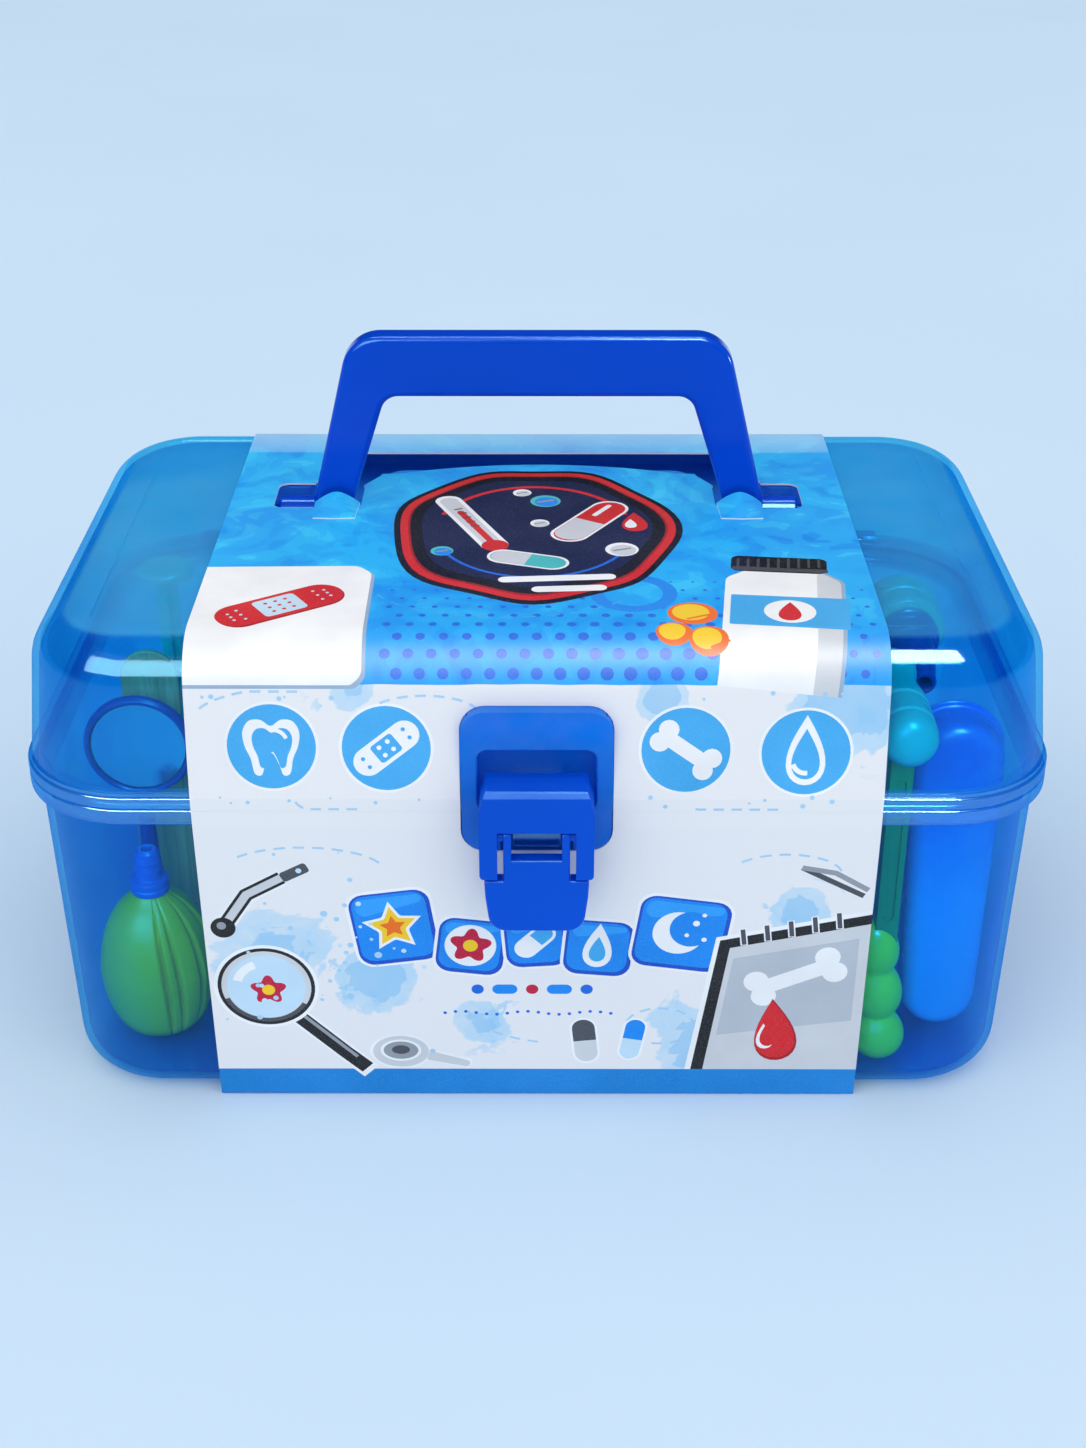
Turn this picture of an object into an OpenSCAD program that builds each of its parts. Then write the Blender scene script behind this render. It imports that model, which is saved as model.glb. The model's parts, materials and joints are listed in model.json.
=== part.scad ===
// Toy doctor case: translucent tub and hinged lid, fold-down handle,
// two-piece snap latch, printed card sleeve, and the toys held inside.
// Millimetres. +X right, +Y back, +Z up. Origin: centre of the resting face.

/* [Case] */
// Width over the rim
rim_w = 260; // [240:1:280]
// Depth over the rim
rim_d = 161.3; // [150:0.1:175]
// Height of the parting line between tub and lid
part_z = 91.5; // [85:0.5:98]
// Height of the lid's flat top
top_z = 133.3; // [130:0.1:138]
// Wall thickness of tub and lid
wall = 1.8; // [1.4:0.1:2.4]
// Radius of the rim's corners seen from above
rim_r = 28.7; // [26:0.1:32]
// Radius between the lid's walls and its top
lid_edge_r = 13; // [10:0.5:14]
// Radius between the tub's walls and its floor
tub_edge_r = 9; // [7:0.5:10]
// Draft of the lid's walls, as a slope
lid_draft = 0.116; // [0.08:0.001:0.13]
// Draft of the tub's walls, as a slope
tub_draft = 0.0215; // [0.01:0.0005:0.03]
// How far the tub's wall stands in from its rim
tub_inset = 2.7; // [2:0.1:3]

/* [Hinges] */
// Distance of each hinge's middle from the centre
hinge_x = 97; // [95:0.5:99]
// Radius of the hinge knuckles
knuckle_r = 3.4; // [3:0.1:3.5]
// Radius of the hinge pins
pin_r = 1.5; // [1.2:0.1:1.8]
// Radial running clearance of every pin
run_gap = 0.07; // [0.04:0.01:0.1]

/* [Handle] */
// Height of the grip's upper face
grip_top_z = 180.5; // [178:0.5:184]
// Height of the grip's lower face
grip_low_z = 163.7; // [161:0.1:165]
// Thickness from front to back
handle_t = 8; // [7:0.5:9]
// Pivot axis, distance behind the centre
pivot_y = 18; // [17:0.5:19]
// Pivot axis, height
pivot_z = 129.3; // [129:0.1:129.8]
// Radius of the round ears at the pivots
ear_r = 4.3; // [4:0.1:4.5]

/* [Card sleeve] */
// Width of the sleeve across the case
sleeve_w = 169.2; // [160:0.1:170]
// Thickness of the card
card_t = 0.5; // [0.4:0.05:0.6]
// Width of the latch cut-out
cut_w = 37.4; // [36:0.1:39]

/* [Latch] */
// Width of the hood
hood_w = 27.8; // [26:0.1:28]
// Front face of the hood, in front of the centre
hood_y = 92; // [91:0.5:93]
// Width of the lever's lower part
lever_w = 25.7; // [24:0.1:26]

/* [Hidden] */
$fn = 48;
hx = rim_w / 2;
hy = rim_d / 2;
ct = card_t;
gap = 0.1;               // half the gap at the parting line
hinge_y = hy + 3.85;     // hinge axis
hinge_z = part_z;
hood_py = -83.5;         // hood's pivot
hood_pz = 97.5;
lev_py = -89.8;          // lever's pivot
lev_pz = 89.8;
floor_z = ct + wall;     // inside of the tub's floor

// ---------- helpers ----------
function ring_pts(a, b, r, n) = [for (q = [0:3]) for (i = [0:n])
    let (t = q * 90 + i * 90 / n, sx = (q == 0 || q == 3) ? 1 : -1, sy = q < 2 ? 1 : -1)
    [sx * (a - r) + r * cos(t), sy * (b - r) + r * sin(t)]];

// rounded box through rings of [height, half width, half depth, corner radius]
module loft(rings, n = 8) {
    m = 4 * (n + 1);
    k = len(rings);
    pts = [for (g = rings) for (p = ring_pts(g[1], g[2], g[3], n)) [p[0], p[1], g[0]]];
    side = [for (j = [0:k - 2]) for (i = [0:m - 1])
        let (i2 = (i + 1) % m) [j * m + i, (j + 1) * m + i, (j + 1) * m + i2, j * m + i2]];
    low = [[for (i = [0:m - 1]) i]];
    high = [[for (i = [0:m - 1]) (k - 1) * m + m - 1 - i]];
    polyhedron(points = pts, faces = concat(low, side, high), convexity = 6);
}

// rounded square in the plane, centred, from squares and circles
module rounded(w, h, r) {
    square([w - 2 * r, h], center = true);
    square([w, h - 2 * r], center = true);
    for (sx = [-1, 1]) for (sy = [-1, 1])
        translate([sx * (w / 2 - r), sy * (h / 2 - r)]) circle(r);
}

// extrude along X between two stations; the child is drawn as (Y, Z)
module along_x(x0, x1) {
    translate([x0, 0, 0]) rotate([90, 0, 90]) linear_extrude(x1 - x0) children();
}

// extrude along Y between two stations; the child is drawn as (X, Z)
module along_y(y0, y1) {
    translate([0, y1, 0]) rotate([90, 0, 0]) linear_extrude(y1 - y0) children();
}

module rod_x(x0, x1, y, z, r) {
    translate([x0, y, z]) rotate([0, 90, 0]) cylinder(h = x1 - x0, r = r);
}

module box(x0, x1, y0, y1, z0, z1) {
    translate([x0, y0, z0]) cube([x1 - x0, y1 - y0, z1 - z0]);
}

// ---------- tub ----------
function tub_h(h, z) = h - tub_inset - tub_draft * (part_z - 4.7 - z);
function tub_ring(z, d) = [z, tub_h(hx, z) - d, tub_h(hy, z) - d, rim_r - tub_inset - d];
function tub_rings(t, top) = concat(
    [for (a = [0:18:90]) tub_ring(ct + t + (tub_edge_r - t) * (1 - cos(a)),
                                  t + (tub_edge_r - t) * (1 - sin(a)))],
    [tub_ring(top, t)]);

module tub() {
    color([0.10, 0.50, 0.93, 0.6]) {
        difference() {
            union() {
                loft(tub_rings(0, part_z - 3));
                // rim flange
                loft([[part_z - 4.7, hx, hy, rim_r], [part_z - gap, hx, hy, rim_r]]);
            }
            loft(tub_rings(wall, part_z + 3));
            // the lid's latch pad hangs down over the rim here
            box(-19, 19, -hy - 2, -hy + 1.35, 70, part_z + 1);
        }
        // catch block that the latch snaps over
        along_x(-5.8, 5.8) polygon([[-77, 83.6], [-84.6, 83.6], [-86, 85], [-86, 89], [-84, 91], [-77, 91]]);
        // two ears for each hinge pin
        for (s = [-1, 1]) for (x = [-7, 7])
            difference() {
                union() {
                    rod_x(s * hinge_x + x - 2, s * hinge_x + x + 2, hinge_y, hinge_z, knuckle_r);
                    box(s * hinge_x + x - 2, s * hinge_x + x + 2, hy - 1.9, hinge_y, hinge_z - knuckle_r, part_z - gap);
                }
                rod_x(s * hinge_x + x - 3, s * hinge_x + x + 3, hinge_y, hinge_z, pin_r);
            }
    }
}

module hinge_pins() {
    color([0.05, 0.30, 0.80])
        for (s = [-1, 1]) rod_x(s * hinge_x - 9, s * hinge_x + 9, hinge_y, hinge_z, pin_r);
}

// ---------- lid ----------
function lid_h(h, z) = h - 0.5 - lid_draft * (z - part_z);
da = atan(lid_draft);
edge_z = top_z - lid_edge_r;
function edge_c(h) = lid_h(h, edge_z) - lid_edge_r / cos(da);
function lid_ring(z, d) = [z, lid_h(hx, z) - d, lid_h(hy, z) - d, rim_r + 1 - (hx - lid_h(hx, z)) - d];
function lid_arc(t, a) = let (r = lid_edge_r - t, x = edge_c(hx) + r * cos(a))
    [edge_z + r * sin(a), x, edge_c(hy) + r * cos(a), rim_r + 1 - (hx - x)];
function lid_rings(t, low) = concat([lid_ring(low, t)], [for (i = [0:6]) lid_arc(t, da + i * (90 - da) / 6)]);

// the lid top's U-shaped channel for the folded handle, seen from above
module channel(g) {
    for (s = [-1, 1]) scale([s, 1, 1]) {
        translate([48.5 - g, 9 - g]) square([24.5 + 2 * g, 18 + 2 * g]);
        polygon([[48.5 - g, 12], [44.8 - g, 30], [41 - g, 45], [41 - g, 69.5 + g], [57.5 + g, 69.5 + g], [64.6 + g, 20]]);
    }
    translate([-50, 40 - g]) square([100, 29.5 + 2 * g]);
}

module pad_2d(w, z0, z1, r) {
    translate([0, (z0 + z1) / 2]) rounded(w, z1 - z0, r);
}

module lid() {
    color([0.10, 0.50, 0.93, 0.6]) {
        difference() {
            union() {
                difference() {
                    loft(lid_rings(0, part_z + gap));
                    loft(lid_rings(wall, part_z - 2));
                }
                // rim flange
                difference() {
                    loft([[part_z + gap, hx, hy, rim_r], [part_z + 3.3, hx, hy, rim_r]]);
                    loft([lid_ring(part_z - 2, wall), lid_ring(part_z + 6, wall)]);
                }
                // walls and floor of the handle's channel
                intersection() {
                    loft(lid_rings(0, part_z + gap));
                    translate([0, 0, 122]) linear_extrude(20) channel(1.6);
                }
                // bosses for the handle's stubs
                for (s = [-1, 1]) box(s > 0 ? 74 : -77.2, s > 0 ? 77.2 : -74, 12, 24, 122, top_z - 0.4);
                // latch pad: frame back to the wall, face and apron over the tub's rim
                difference() {
                    intersection() {
                        along_y(-hy - 0.45, -74) pad_2d(37, 80.1, 118.9, 6);
                        box(-30, 30, -hy - 2, -70, part_z + gap, 130);
                    }
                    box(-16.9, 16.9, -hy + 1.15, -60, part_z - 2, 117.2);
                }
                along_y(-hy - 0.45, -hy + 1.05) pad_2d(37, 80.1, 118.9, 6);
                // pocket behind the hood
                box(-16, 16, -hy - 0.4, -73, 90.4, 110);
            }
            // open channel, pocket, and window for the catch block
            translate([0, 0, 123.6]) linear_extrude(20) channel(0);
            along_y(-hy - 5, -74.6) translate([0, 100.1]) rounded(28.8, 16.6, 2.5);
            box(-9, 9, -hy - 3, -70, 70, 91.7);
            box(-30, 30, -hy + 1.05, -60, 70, part_z + gap);
            // stub holes for the handle
            for (s = [-1, 1]) rod_x(s > 0 ? 70 : -75.5, s > 0 ? 75.5 : -70, pivot_y, pivot_z, 2 + run_gap);
        }
        // hinge knuckles
        for (s = [-1, 1])
            difference() {
                union() {
                    rod_x(s * hinge_x - 4.7, s * hinge_x + 4.7, hinge_y, hinge_z, knuckle_r);
                    box(s * hinge_x - 4.7, s * hinge_x + 4.7, hy - 1.2, hinge_y, part_z + gap, hinge_z + knuckle_r);
                }
                rod_x(s * hinge_x - 6, s * hinge_x + 6, hinge_y, hinge_z, pin_r + run_gap);
            }
        // lugs in the pocket that carry the hood
        for (s = [-1, 1]) {
            rod_x(s > 0 ? 9.4 : -11.6, s > 0 ? 11.6 : -9.4, hood_py, hood_pz, 2.8);
            rod_x(s > 0 ? 11.6 : -13.2, s > 0 ? 13.2 : -11.6, hood_py, hood_pz, 1.5);
            along_x(s > 0 ? 9.4 : -11.6, s > 0 ? 11.6 : -9.4)
                polygon([[-86.1, 96.6], [-83.4, 92.4], [-81.6, 91.8], [-76, 91.8], [-76, 92.9], [-80.9, 96.1], [-81.6, 99.2]]);
        }
    }
}

// ---------- handle ----------
module grip_2d(wl, zl, wh, zh, r) {
    k = r * tan((90 - atan((wl - wh) / (zh - zl))) / 2);
    hull() {
        for (s = [-1, 1]) {
            translate([s * (wh - k), zh - r]) circle(r, $fn = 48);
            translate([s * (wl - 0.5), zl + 0.5]) square(1, center = true);
        }
    }
}

module handle() {
    h0 = pivot_y - handle_t / 2;
    color([0.02, 0.26, 0.85]) {
        difference() {
            along_y(h0, h0 + handle_t) difference() {
                grip_2d(62.98, pivot_z, 50.4, grip_top_z, 10);
                grip_2d(55.4, 120, 41.2, grip_low_z, 4.5);
            }
        }
        // ears and stubs on the pivot axis
        for (s = [-1, 1]) {
            rod_x(s > 0 ? 52.3 : -71.8, s > 0 ? 71.8 : -52.3, pivot_y, pivot_z, ear_r);
            rod_x(s > 0 ? 71.8 : -75, s > 0 ? 75 : -71.8, pivot_y, pivot_z, 2);
        }
    }
}

// ---------- latch ----------
module latch_hood() {
    w = hood_w / 2;
    color([0.02, 0.26, 0.85]) difference() {
        union() {
            // top and front as one bent plate
            along_x(-w, w) polygon([[-82.5, 103.1], [-82.5, 100.8], [-89.6, 100.2], [-89.6, 91.9],
                                    [-hood_y, 91.9], [-hood_y, 101.2], [-90.6, 102.6]]);
            for (s = [-1, 1]) {
                // side cheeks round the pivot
                along_x(s > 0 ? w - 2 : -w, s > 0 ? w : 2 - w)
                    polygon([[-82.5, 103], [-80.9, 98.5], [-80.9, 96], [-83, 94.4], [-89, 91.9], [-91, 91.9], [-91, 102.2], [-90.6, 102.5]]);
                // arms beside the window
                box(s > 0 ? 9.55 : -w, s > 0 ? w : -9.55, -hood_y, -87.4, 78.4, 92.2);
            }
        }
        for (s = [-1, 1]) {
            rod_x(s > 0 ? 11 : -13.5, s > 0 ? 13.5 : -11, hood_py, hood_pz, 1.5 + run_gap);
            rod_x(s > 0 ? 9 : -12.5, s > 0 ? 12.5 : -9, lev_py, lev_pz, 1.2 + run_gap);
        }
    }
}

module latch_lever() {
    w = lever_w / 2;
    color([0.02, 0.26, 0.85]) {
        // neck and wide lower part
        along_y(-91.6, -87.6) {
            translate([-8.1, 70]) square([16.2, 13.8]);
            hull() {
                translate([-w, 76.8]) square([2 * w, 1]);
                for (s = [-1, 1]) translate([s * (w - 5.6), 67.3]) circle(4.1, $fn = 32);
            }
        }
        // ears and stubs
        for (s = [-1, 1]) {
            box(s > 0 ? 6.1 : -8.1, s > 0 ? 8.1 : -6.1, -91.6, -88, 83, lev_pz);
            rod_x(s > 0 ? 6.1 : -8.1, s > 0 ? 8.1 : -6.1, lev_py, lev_pz, 1.8);
            rod_x(s > 0 ? 8.1 : -12.2, s > 0 ? 12.2 : -8.1, lev_py, lev_pz, 1.2);
        }
    }
}

// ---------- card sleeve ----------
ey = edge_c(hy);
er = lid_edge_r + 0.1;
// where a line from the rim touches the arc round the lid's edge
rim_y = hy + 0.1;
rim_z = part_z + 3.5;
dd = sqrt(pow(rim_y - ey, 2) + pow(rim_z - edge_z, 2));
ta = atan2(rim_z - edge_z, rim_y - ey) + acos(er / dd);
function arc(t, s) = [for (i = [0:8]) let (a = ta + i * (90 - ta) / 8) [s * (ey + (er + t) * cos(a)), edge_z + (er + t) * sin(a)]];
function rev(v) = [for (i = [len(v) - 1:-1:0]) v[i]];
function upper_line(t) = concat([[-rim_y - t, part_z + 0.2], [-rim_y - t, rim_z]], arc(t, -1),
                                rev(arc(t, 1)), [[rim_y + t, rim_z], [rim_y + t, part_z + 0.2]]);
function lower_line(t) = [[-rim_y - t, part_z - 0.2], [-rim_y - t, part_z - 4.9], [-75.9 - t, ct - t], [75.9 + t, ct - t],
                          [rim_y + t, part_z - 4.9], [rim_y + t, part_z - 0.2]];

module latch_cut() {
    along_y(-100, -60) pad_2d(cut_w, 80, 119, 6.2);
}

module top_cut() {
    translate([0, 0, 130]) linear_extrude(10) {
        for (s = [-1, 1]) scale([s, 1, 1]) {
            translate([60.6, 18]) rounded(24, 18, 3);
            polygon([[48.6, 12], [50.4, 23], [44.6, 33], [43.4, 51], [57, 51], [64.4, 20]]);
        }
        difference() {
            translate([-46, 34]) square([92, 17]);
            translate([0, 41.4 - 116]) circle(116, $fn = 96);
        }
    }
}

module sleeve_upper() {
    color([0.13, 0.60, 0.95]) difference() {
        along_x(-sleeve_w / 2, sleeve_w / 2) polygon(concat(upper_line(ct), rev(upper_line(0))));
        latch_cut();
        top_cut();
    }
}

module sleeve_lower() {
    color([0.93, 0.95, 0.98]) difference() {
        along_x(-sleeve_w / 2, sleeve_w / 2) polygon(concat(lower_line(ct), rev(lower_line(0))));
        latch_cut();
    }
}

// ---------- toys inside ----------
// pear-shaped ribbed bulb standing on the floor
function bulb_r(u) = 16 * sqrt(max(0, 1 - pow(2 * u - 0.86, 2) / 1.32)) + 0.45 * cos(u * 360 * 9);
module squeeze_bulb() {
    color([0.62, 0.80, 0.16]) translate([-105, -45, floor_z + 0.2])
        rotate_extrude() polygon(concat([[0, 0]], [for (i = [1:40]) [bulb_r(i / 41), 42.5 * i / 41]], [[4, 42.5], [0, 42.5]]));
}

module bulb_neck() {
    color([0.05, 0.33, 0.80]) translate([-105, -45, floor_z + 42.7]) {
        cylinder(h = 4, r = 5.2);
        translate([0, 0, 4]) cylinder(h = 9, r = 3.6);
    }
}

module mirror_frame() {
    color([0.03, 0.22, 0.62]) translate([-109, -23, 0]) {
        translate([0, 0, floor_z]) cylinder(h = 62, r = 3.6);
        translate([0, 2, 77.5]) rotate([90, 0, 0]) difference() {
            cylinder(h = 4, r = 15);
            translate([0, 0, 1.5]) cylinder(h = 4, r = 13.2);
        }
    }
}

module mirror_disc() {
    color([0.75, 0.80, 0.86]) translate([-109, -23 + 0.4, 77.5]) rotate([90, 0, 0]) cylinder(h = 1.6, r = 13.1);
}

module tongue_spatula() {
    color([0.82, 0.66, 0.44]) along_y(-11, -9) translate([-107, 0]) hull() {
        translate([0, floor_z + 8]) circle(8, $fn = 32);
        translate([0, 92]) circle(8, $fn = 32);
    }
}

module syringe_barrel() {
    color([0.75, 0.88, 0.95, 0.7]) translate([-106, 20, 0]) difference() {
        union() {
            translate([0, 0, floor_z]) cylinder(h = 9, r = 2);
            translate([0, 0, floor_z + 7]) cylinder(h = 54, r = 8.3);
            translate([0, 0, floor_z + 59.4]) linear_extrude(1.8) rounded(17, 30, 8);
        }
        translate([0, 0, floor_z + 8.6]) cylinder(h = 60, r = 7);
    }
}

module syringe_plunger() {
    color([0.10, 0.62, 0.62]) translate([-106, 20, 0]) {
        translate([0, 0, 42]) cylinder(h = 6, r = 7 - run_gap);
        translate([0, 0, 47]) cylinder(h = 62, r = 3);
        translate([0, 0, 109]) cylinder(h = 2.6, r = 8);
    }
}

module hammer_grip() {
    color([0.20, 0.85, 0.25]) translate([91.6, -61, 0]) difference() {
        union() {
            translate([0, 0, floor_z + 7.6]) sphere(7.5);
            translate([0, 0, floor_z + 7.6]) cylinder(h = 28, r = 7.5);
            translate([0, 0, floor_z + 35.6]) sphere(7.5);
        }
        // socket for the stem
        box(-2.65, 3.45, -2.55, 2.55, floor_z + 38, floor_z + 60);
    }
}

module hammer_stem() {
    color([0.05, 0.50, 0.22]) box(89, 95, -63.5, -58.5, floor_z + 38.05, 97.95);
}

module hammer_head() {
    color([0.10, 0.66, 0.66]) translate([92, 0, 0]) difference() {
        union() {
            translate([0, -61 - 6, 105]) sphere(7.3);
            translate([0, -61 - 6, 105]) rotate([-90, 0, 0]) cylinder(h = 30, r = 7.3);
            translate([0, -61 + 24, 105]) sphere(7.3);
        }
        box(-4, 4, -64, -58, 90, 98);
    }
}

module dish_2d(w, z0, z1) {
    hull() {
        translate([0, z0 + w / 2]) circle(w / 2, $fn = 32);
        translate([0, z1 - w / 2]) circle(w / 2, $fn = 32);
    }
}

module kidney_dish() {
    color([0.08, 0.38, 0.90]) translate([109.9, 0, 0]) difference() {
        union() {
            along_y(-52, -38.5) dish_2d(24.5, floor_z + 1.6, 98.4);
            along_y(-39.5, -38) dish_2d(27.6, floor_z + 0.2, 100);
        }
        along_y(-50.4, -30) dish_2d(21.3, floor_z + 3.2, 96.8);
    }
}

module otoscope_body() {
    color([0.10, 0.62, 0.62]) translate([104, 16, 0]) {
        translate([0, 0, floor_z]) cylinder(h = 74, r = 8);
        translate([0, 0, floor_z + 74]) cylinder(h = 12, r1 = 8, r2 = 5);
        translate([0, 10, 96]) rotate([90, 0, 0]) cylinder(h = 18, r = 11);
    }
}

module otoscope_cone() {
    color([0.06, 0.20, 0.55]) translate([104, 8, 96]) rotate([90, 0, 0]) {
        cylinder(h = 4, r = 8.5);
        translate([0, 0, 4]) cylinder(h = 26, r1 = 7.5, r2 = 3);
    }
}

tub();
lid();
hinge_pins();
handle();
latch_hood();
latch_lever();
sleeve_upper();
sleeve_lower();
squeeze_bulb();
bulb_neck();
mirror_frame();
mirror_disc();
tongue_spatula();
syringe_barrel();
syringe_plunger();
hammer_grip();
hammer_stem();
hammer_head();
kidney_dish();
otoscope_body();
otoscope_cone();
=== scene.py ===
import json
import math
import random

import bpy
import bmesh
import numpy as np
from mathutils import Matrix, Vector, noise
from mathutils.geometry import delaunay_2d_cdt

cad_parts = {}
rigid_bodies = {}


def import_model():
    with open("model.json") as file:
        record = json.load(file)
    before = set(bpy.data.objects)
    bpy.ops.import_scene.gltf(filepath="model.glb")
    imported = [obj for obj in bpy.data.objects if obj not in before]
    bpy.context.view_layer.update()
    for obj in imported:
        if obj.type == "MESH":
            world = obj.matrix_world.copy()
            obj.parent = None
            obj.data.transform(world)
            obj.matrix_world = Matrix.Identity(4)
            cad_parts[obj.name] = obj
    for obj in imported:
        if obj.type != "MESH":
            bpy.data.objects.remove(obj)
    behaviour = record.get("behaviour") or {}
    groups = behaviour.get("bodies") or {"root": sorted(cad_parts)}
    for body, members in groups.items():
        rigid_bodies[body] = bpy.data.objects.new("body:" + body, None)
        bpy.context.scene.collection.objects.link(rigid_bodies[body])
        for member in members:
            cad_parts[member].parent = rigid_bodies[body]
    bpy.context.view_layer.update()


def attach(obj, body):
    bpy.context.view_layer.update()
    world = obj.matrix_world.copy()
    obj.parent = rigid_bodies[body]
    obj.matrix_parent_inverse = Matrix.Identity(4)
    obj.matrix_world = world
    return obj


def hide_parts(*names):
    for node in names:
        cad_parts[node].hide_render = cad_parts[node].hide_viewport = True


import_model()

scene = bpy.context.scene
sin, cos, rad = math.sin, math.cos, math.radians

# ------------------------------------------------------------------ camera
cam_data = bpy.data.cameras.new("camera")
cam = bpy.data.objects.new("camera", cam_data)
scene.collection.objects.link(cam)
scene.camera = cam
cam.location = (0.0024, -0.5032, 0.3466)
cam.rotation_euler = (math.pi / 2 - 0.5002, 0.0, 0.0021)
cam_data.sensor_width = 36.0
cam_data.lens = 50.12
cam_data.clip_start, cam_data.clip_end = 0.01, 40.0

# ------------------------------------------------------------------ driving sizes, millimetres, as in the frame
HX, HY, RIM_R = 130.0, 80.65, 28.7
PART_Z, TOP_Z, WALL = 91.5, 133.3, 1.8
EDGE_Z, EDGE_R = 120.3, 13.0
DA = math.atan(0.116)
PIV_Y, PIV_Z = 18.0, 129.3
HINGE_Y, HINGE_Z = HY + 3.85, PART_Z


# ------------------------------------------------------------------ mesh helpers
def link(obj):
    scene.collection.objects.link(obj)
    return obj


def mesh_obj(name, verts, faces, mats=(), midx=None, smooth=True, scale=0.001):
    me = bpy.data.meshes.new(name)
    me.from_pydata([(v[0] * scale, v[1] * scale, v[2] * scale) for v in verts], [], faces)
    me.update()
    ob = link(bpy.data.objects.new(name, me))
    for m in mats:
        me.materials.append(m)
    if midx is not None:
        me.polygons.foreach_set("material_index", midx)
    me.polygons.foreach_set("use_smooth", [smooth] * len(me.polygons))
    return ob


def fix_normals(ob):
    bm = bmesh.new()
    bm.from_mesh(ob.data)
    bmesh.ops.recalc_face_normals(bm, faces=bm.faces)
    bm.to_mesh(ob.data)
    bm.free()
    return ob


def set_index(ob, k):
    ob.data.polygons.foreach_set("material_index", [k] * len(ob.data.polygons))
    return ob


def rr(a, b, r, n=16):
    pts = []
    for q, (sx, sy) in enumerate(((1, 1), (-1, 1), (-1, -1), (1, -1))):
        for i in range(n + 1):
            t = rad(q * 90 + i * 90 / n)
            pts.append((sx * (a - r) + r * cos(t), sy * (b - r) + r * sin(t)))
    return pts


def loft(name, rings, mats=(), close=False, caps=True, midx=0):
    """rings: lists of (x, y, z) with equal counts."""
    m, k = len(rings[0]), len(rings)
    verts = [p for r in rings for p in r]
    faces = []
    for j in range(k if close else k - 1):
        a, b = j * m, ((j + 1) % k) * m
        for i in range(m):
            i2 = (i + 1) % m
            faces.append((a + i, a + i2, b + i2, b + i))
    if caps and not close:
        faces.append(tuple(range(m - 1, -1, -1)))
        faces.append(tuple((k - 1) * m + i for i in range(m)))
    ob = mesh_obj(name, verts, faces, mats)
    fix_normals(ob)
    if midx:
        set_index(ob, midx)
    return ob


def round_poly(corners, radii, n=6):
    """closed polygon with each corner replaced by an arc."""
    out = []
    m = len(corners)
    for i in range(m):
        p = Vector(corners[i])
        a = Vector(corners[i - 1]) - p
        b = Vector(corners[(i + 1) % m]) - p
        r = radii[i] if hasattr(radii, "__len__") else radii
        la, lb = a.length, b.length
        a.normalize()
        b.normalize()
        ang = math.acos(max(-1, min(1, a.dot(b))))
        if r <= 0 or ang > math.pi - 0.02:
            out.append((p.x, p.y))
            continue
        t = min(r / math.tan(ang / 2), 0.49 * la, 0.49 * lb)
        r = t * math.tan(ang / 2)
        c = p + (a + b).normalized() * (r / math.sin(ang / 2))
        v0 = (p + a * t) - c
        v1 = (p + b * t) - c
        w = math.acos(max(-1, min(1, v0.normalized().dot(v1.normalized()))))
        for k in range(n + 1):
            f = k / n
            v = (v0 * math.sin((1 - f) * w) + v1 * math.sin(f * w)) / math.sin(w)
            out.append((c.x + v.x, c.y + v.y))
    return out


def ccw(pts):
    s = sum(pts[i - 1][0] * pts[i][1] - pts[i][0] * pts[i - 1][1] for i in range(len(pts)))
    return pts if s > 0 else pts[::-1]


def offset(pts, d):
    """moves a closed, counter-clockwise outline outward by d along its vertex normals."""
    m = len(pts)
    out = []
    for i in range(m):
        p, a, b = Vector(pts[i]), Vector(pts[i - 1]), Vector(pts[(i + 1) % m])
        e1, e2 = (p - a), (b - p)
        if e1.length < 1e-9:
            e1 = e2
        if e2.length < 1e-9:
            e2 = e1
        n1 = Vector((e1.y, -e1.x)).normalized()
        n2 = Vector((e2.y, -e2.x)).normalized()
        nn = (n1 + n2)
        nn = nn / max(nn.length_squared / 2, 0.3) if nn.length > 1e-6 else n1
        out.append((p.x + nn.x * d, p.y + nn.y * d))
    return out


def prism(name, outline, axis, stations, mats=(), midx=0):
    """closed solid from a 2D outline: axis 'x' takes (y, z), 'y' takes (x, z), 'z' takes (x, y); stations are (position, outward offset)."""
    outline = ccw(outline)
    rings = []
    for pos, off in stations:
        o = offset(outline, off) if abs(off) > 1e-9 else outline
        if axis == "x":
            rings.append([(pos, u, v) for u, v in o])
        elif axis == "y":
            rings.append([(u, pos, v) for u, v in o])
        else:
            rings.append([(u, v, pos) for u, v in o])
    return loft(name, rings, mats, midx=midx)


def edge_stations(a, b, r, n=4, ra=None, rb=None):
    """stations from a to b with rounded edges of radius ra at a and rb at b."""
    ra = r if ra is None else ra
    rb = r if rb is None else rb
    s = 1 if b > a else -1
    out = []
    if ra > 0:
        out = [(a + s * ra * (1 - cos(t)), -ra * (1 - sin(t))) for t in [i / n * math.pi / 2 for i in range(n + 1)]]
    else:
        out.append((a, 0))
    if rb > 0:
        out += [(b - s * rb * (1 - cos(t)), -rb * (1 - sin(t))) for t in [i / n * math.pi / 2 for i in range(n, -1, -1)]]
    else:
        out.append((b, 0))
    return out


def box(name, x0, x1, y0, y1, z0, z1, midx=0):
    return prism(name, [(x0, y0), (x1, y0), (x1, y1), (x0, y1)], "z", [(z0, 0), (z1, 0)], midx=midx)


def circle(cx, cy, r, n=40, a0=0.0):
    return [(cx + r * cos(a0 + 2 * math.pi * i / n), cy + r * sin(a0 + 2 * math.pi * i / n)) for i in range(n)]


def rod_x(name, x0, x1, y, z, r, e=0.0, n=40, midx=0):
    return prism(name, circle(y, z, r, n), "x", edge_stations(x0, x1, e) if e else [(x0, 0), (x1, 0)], midx=midx)


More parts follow.
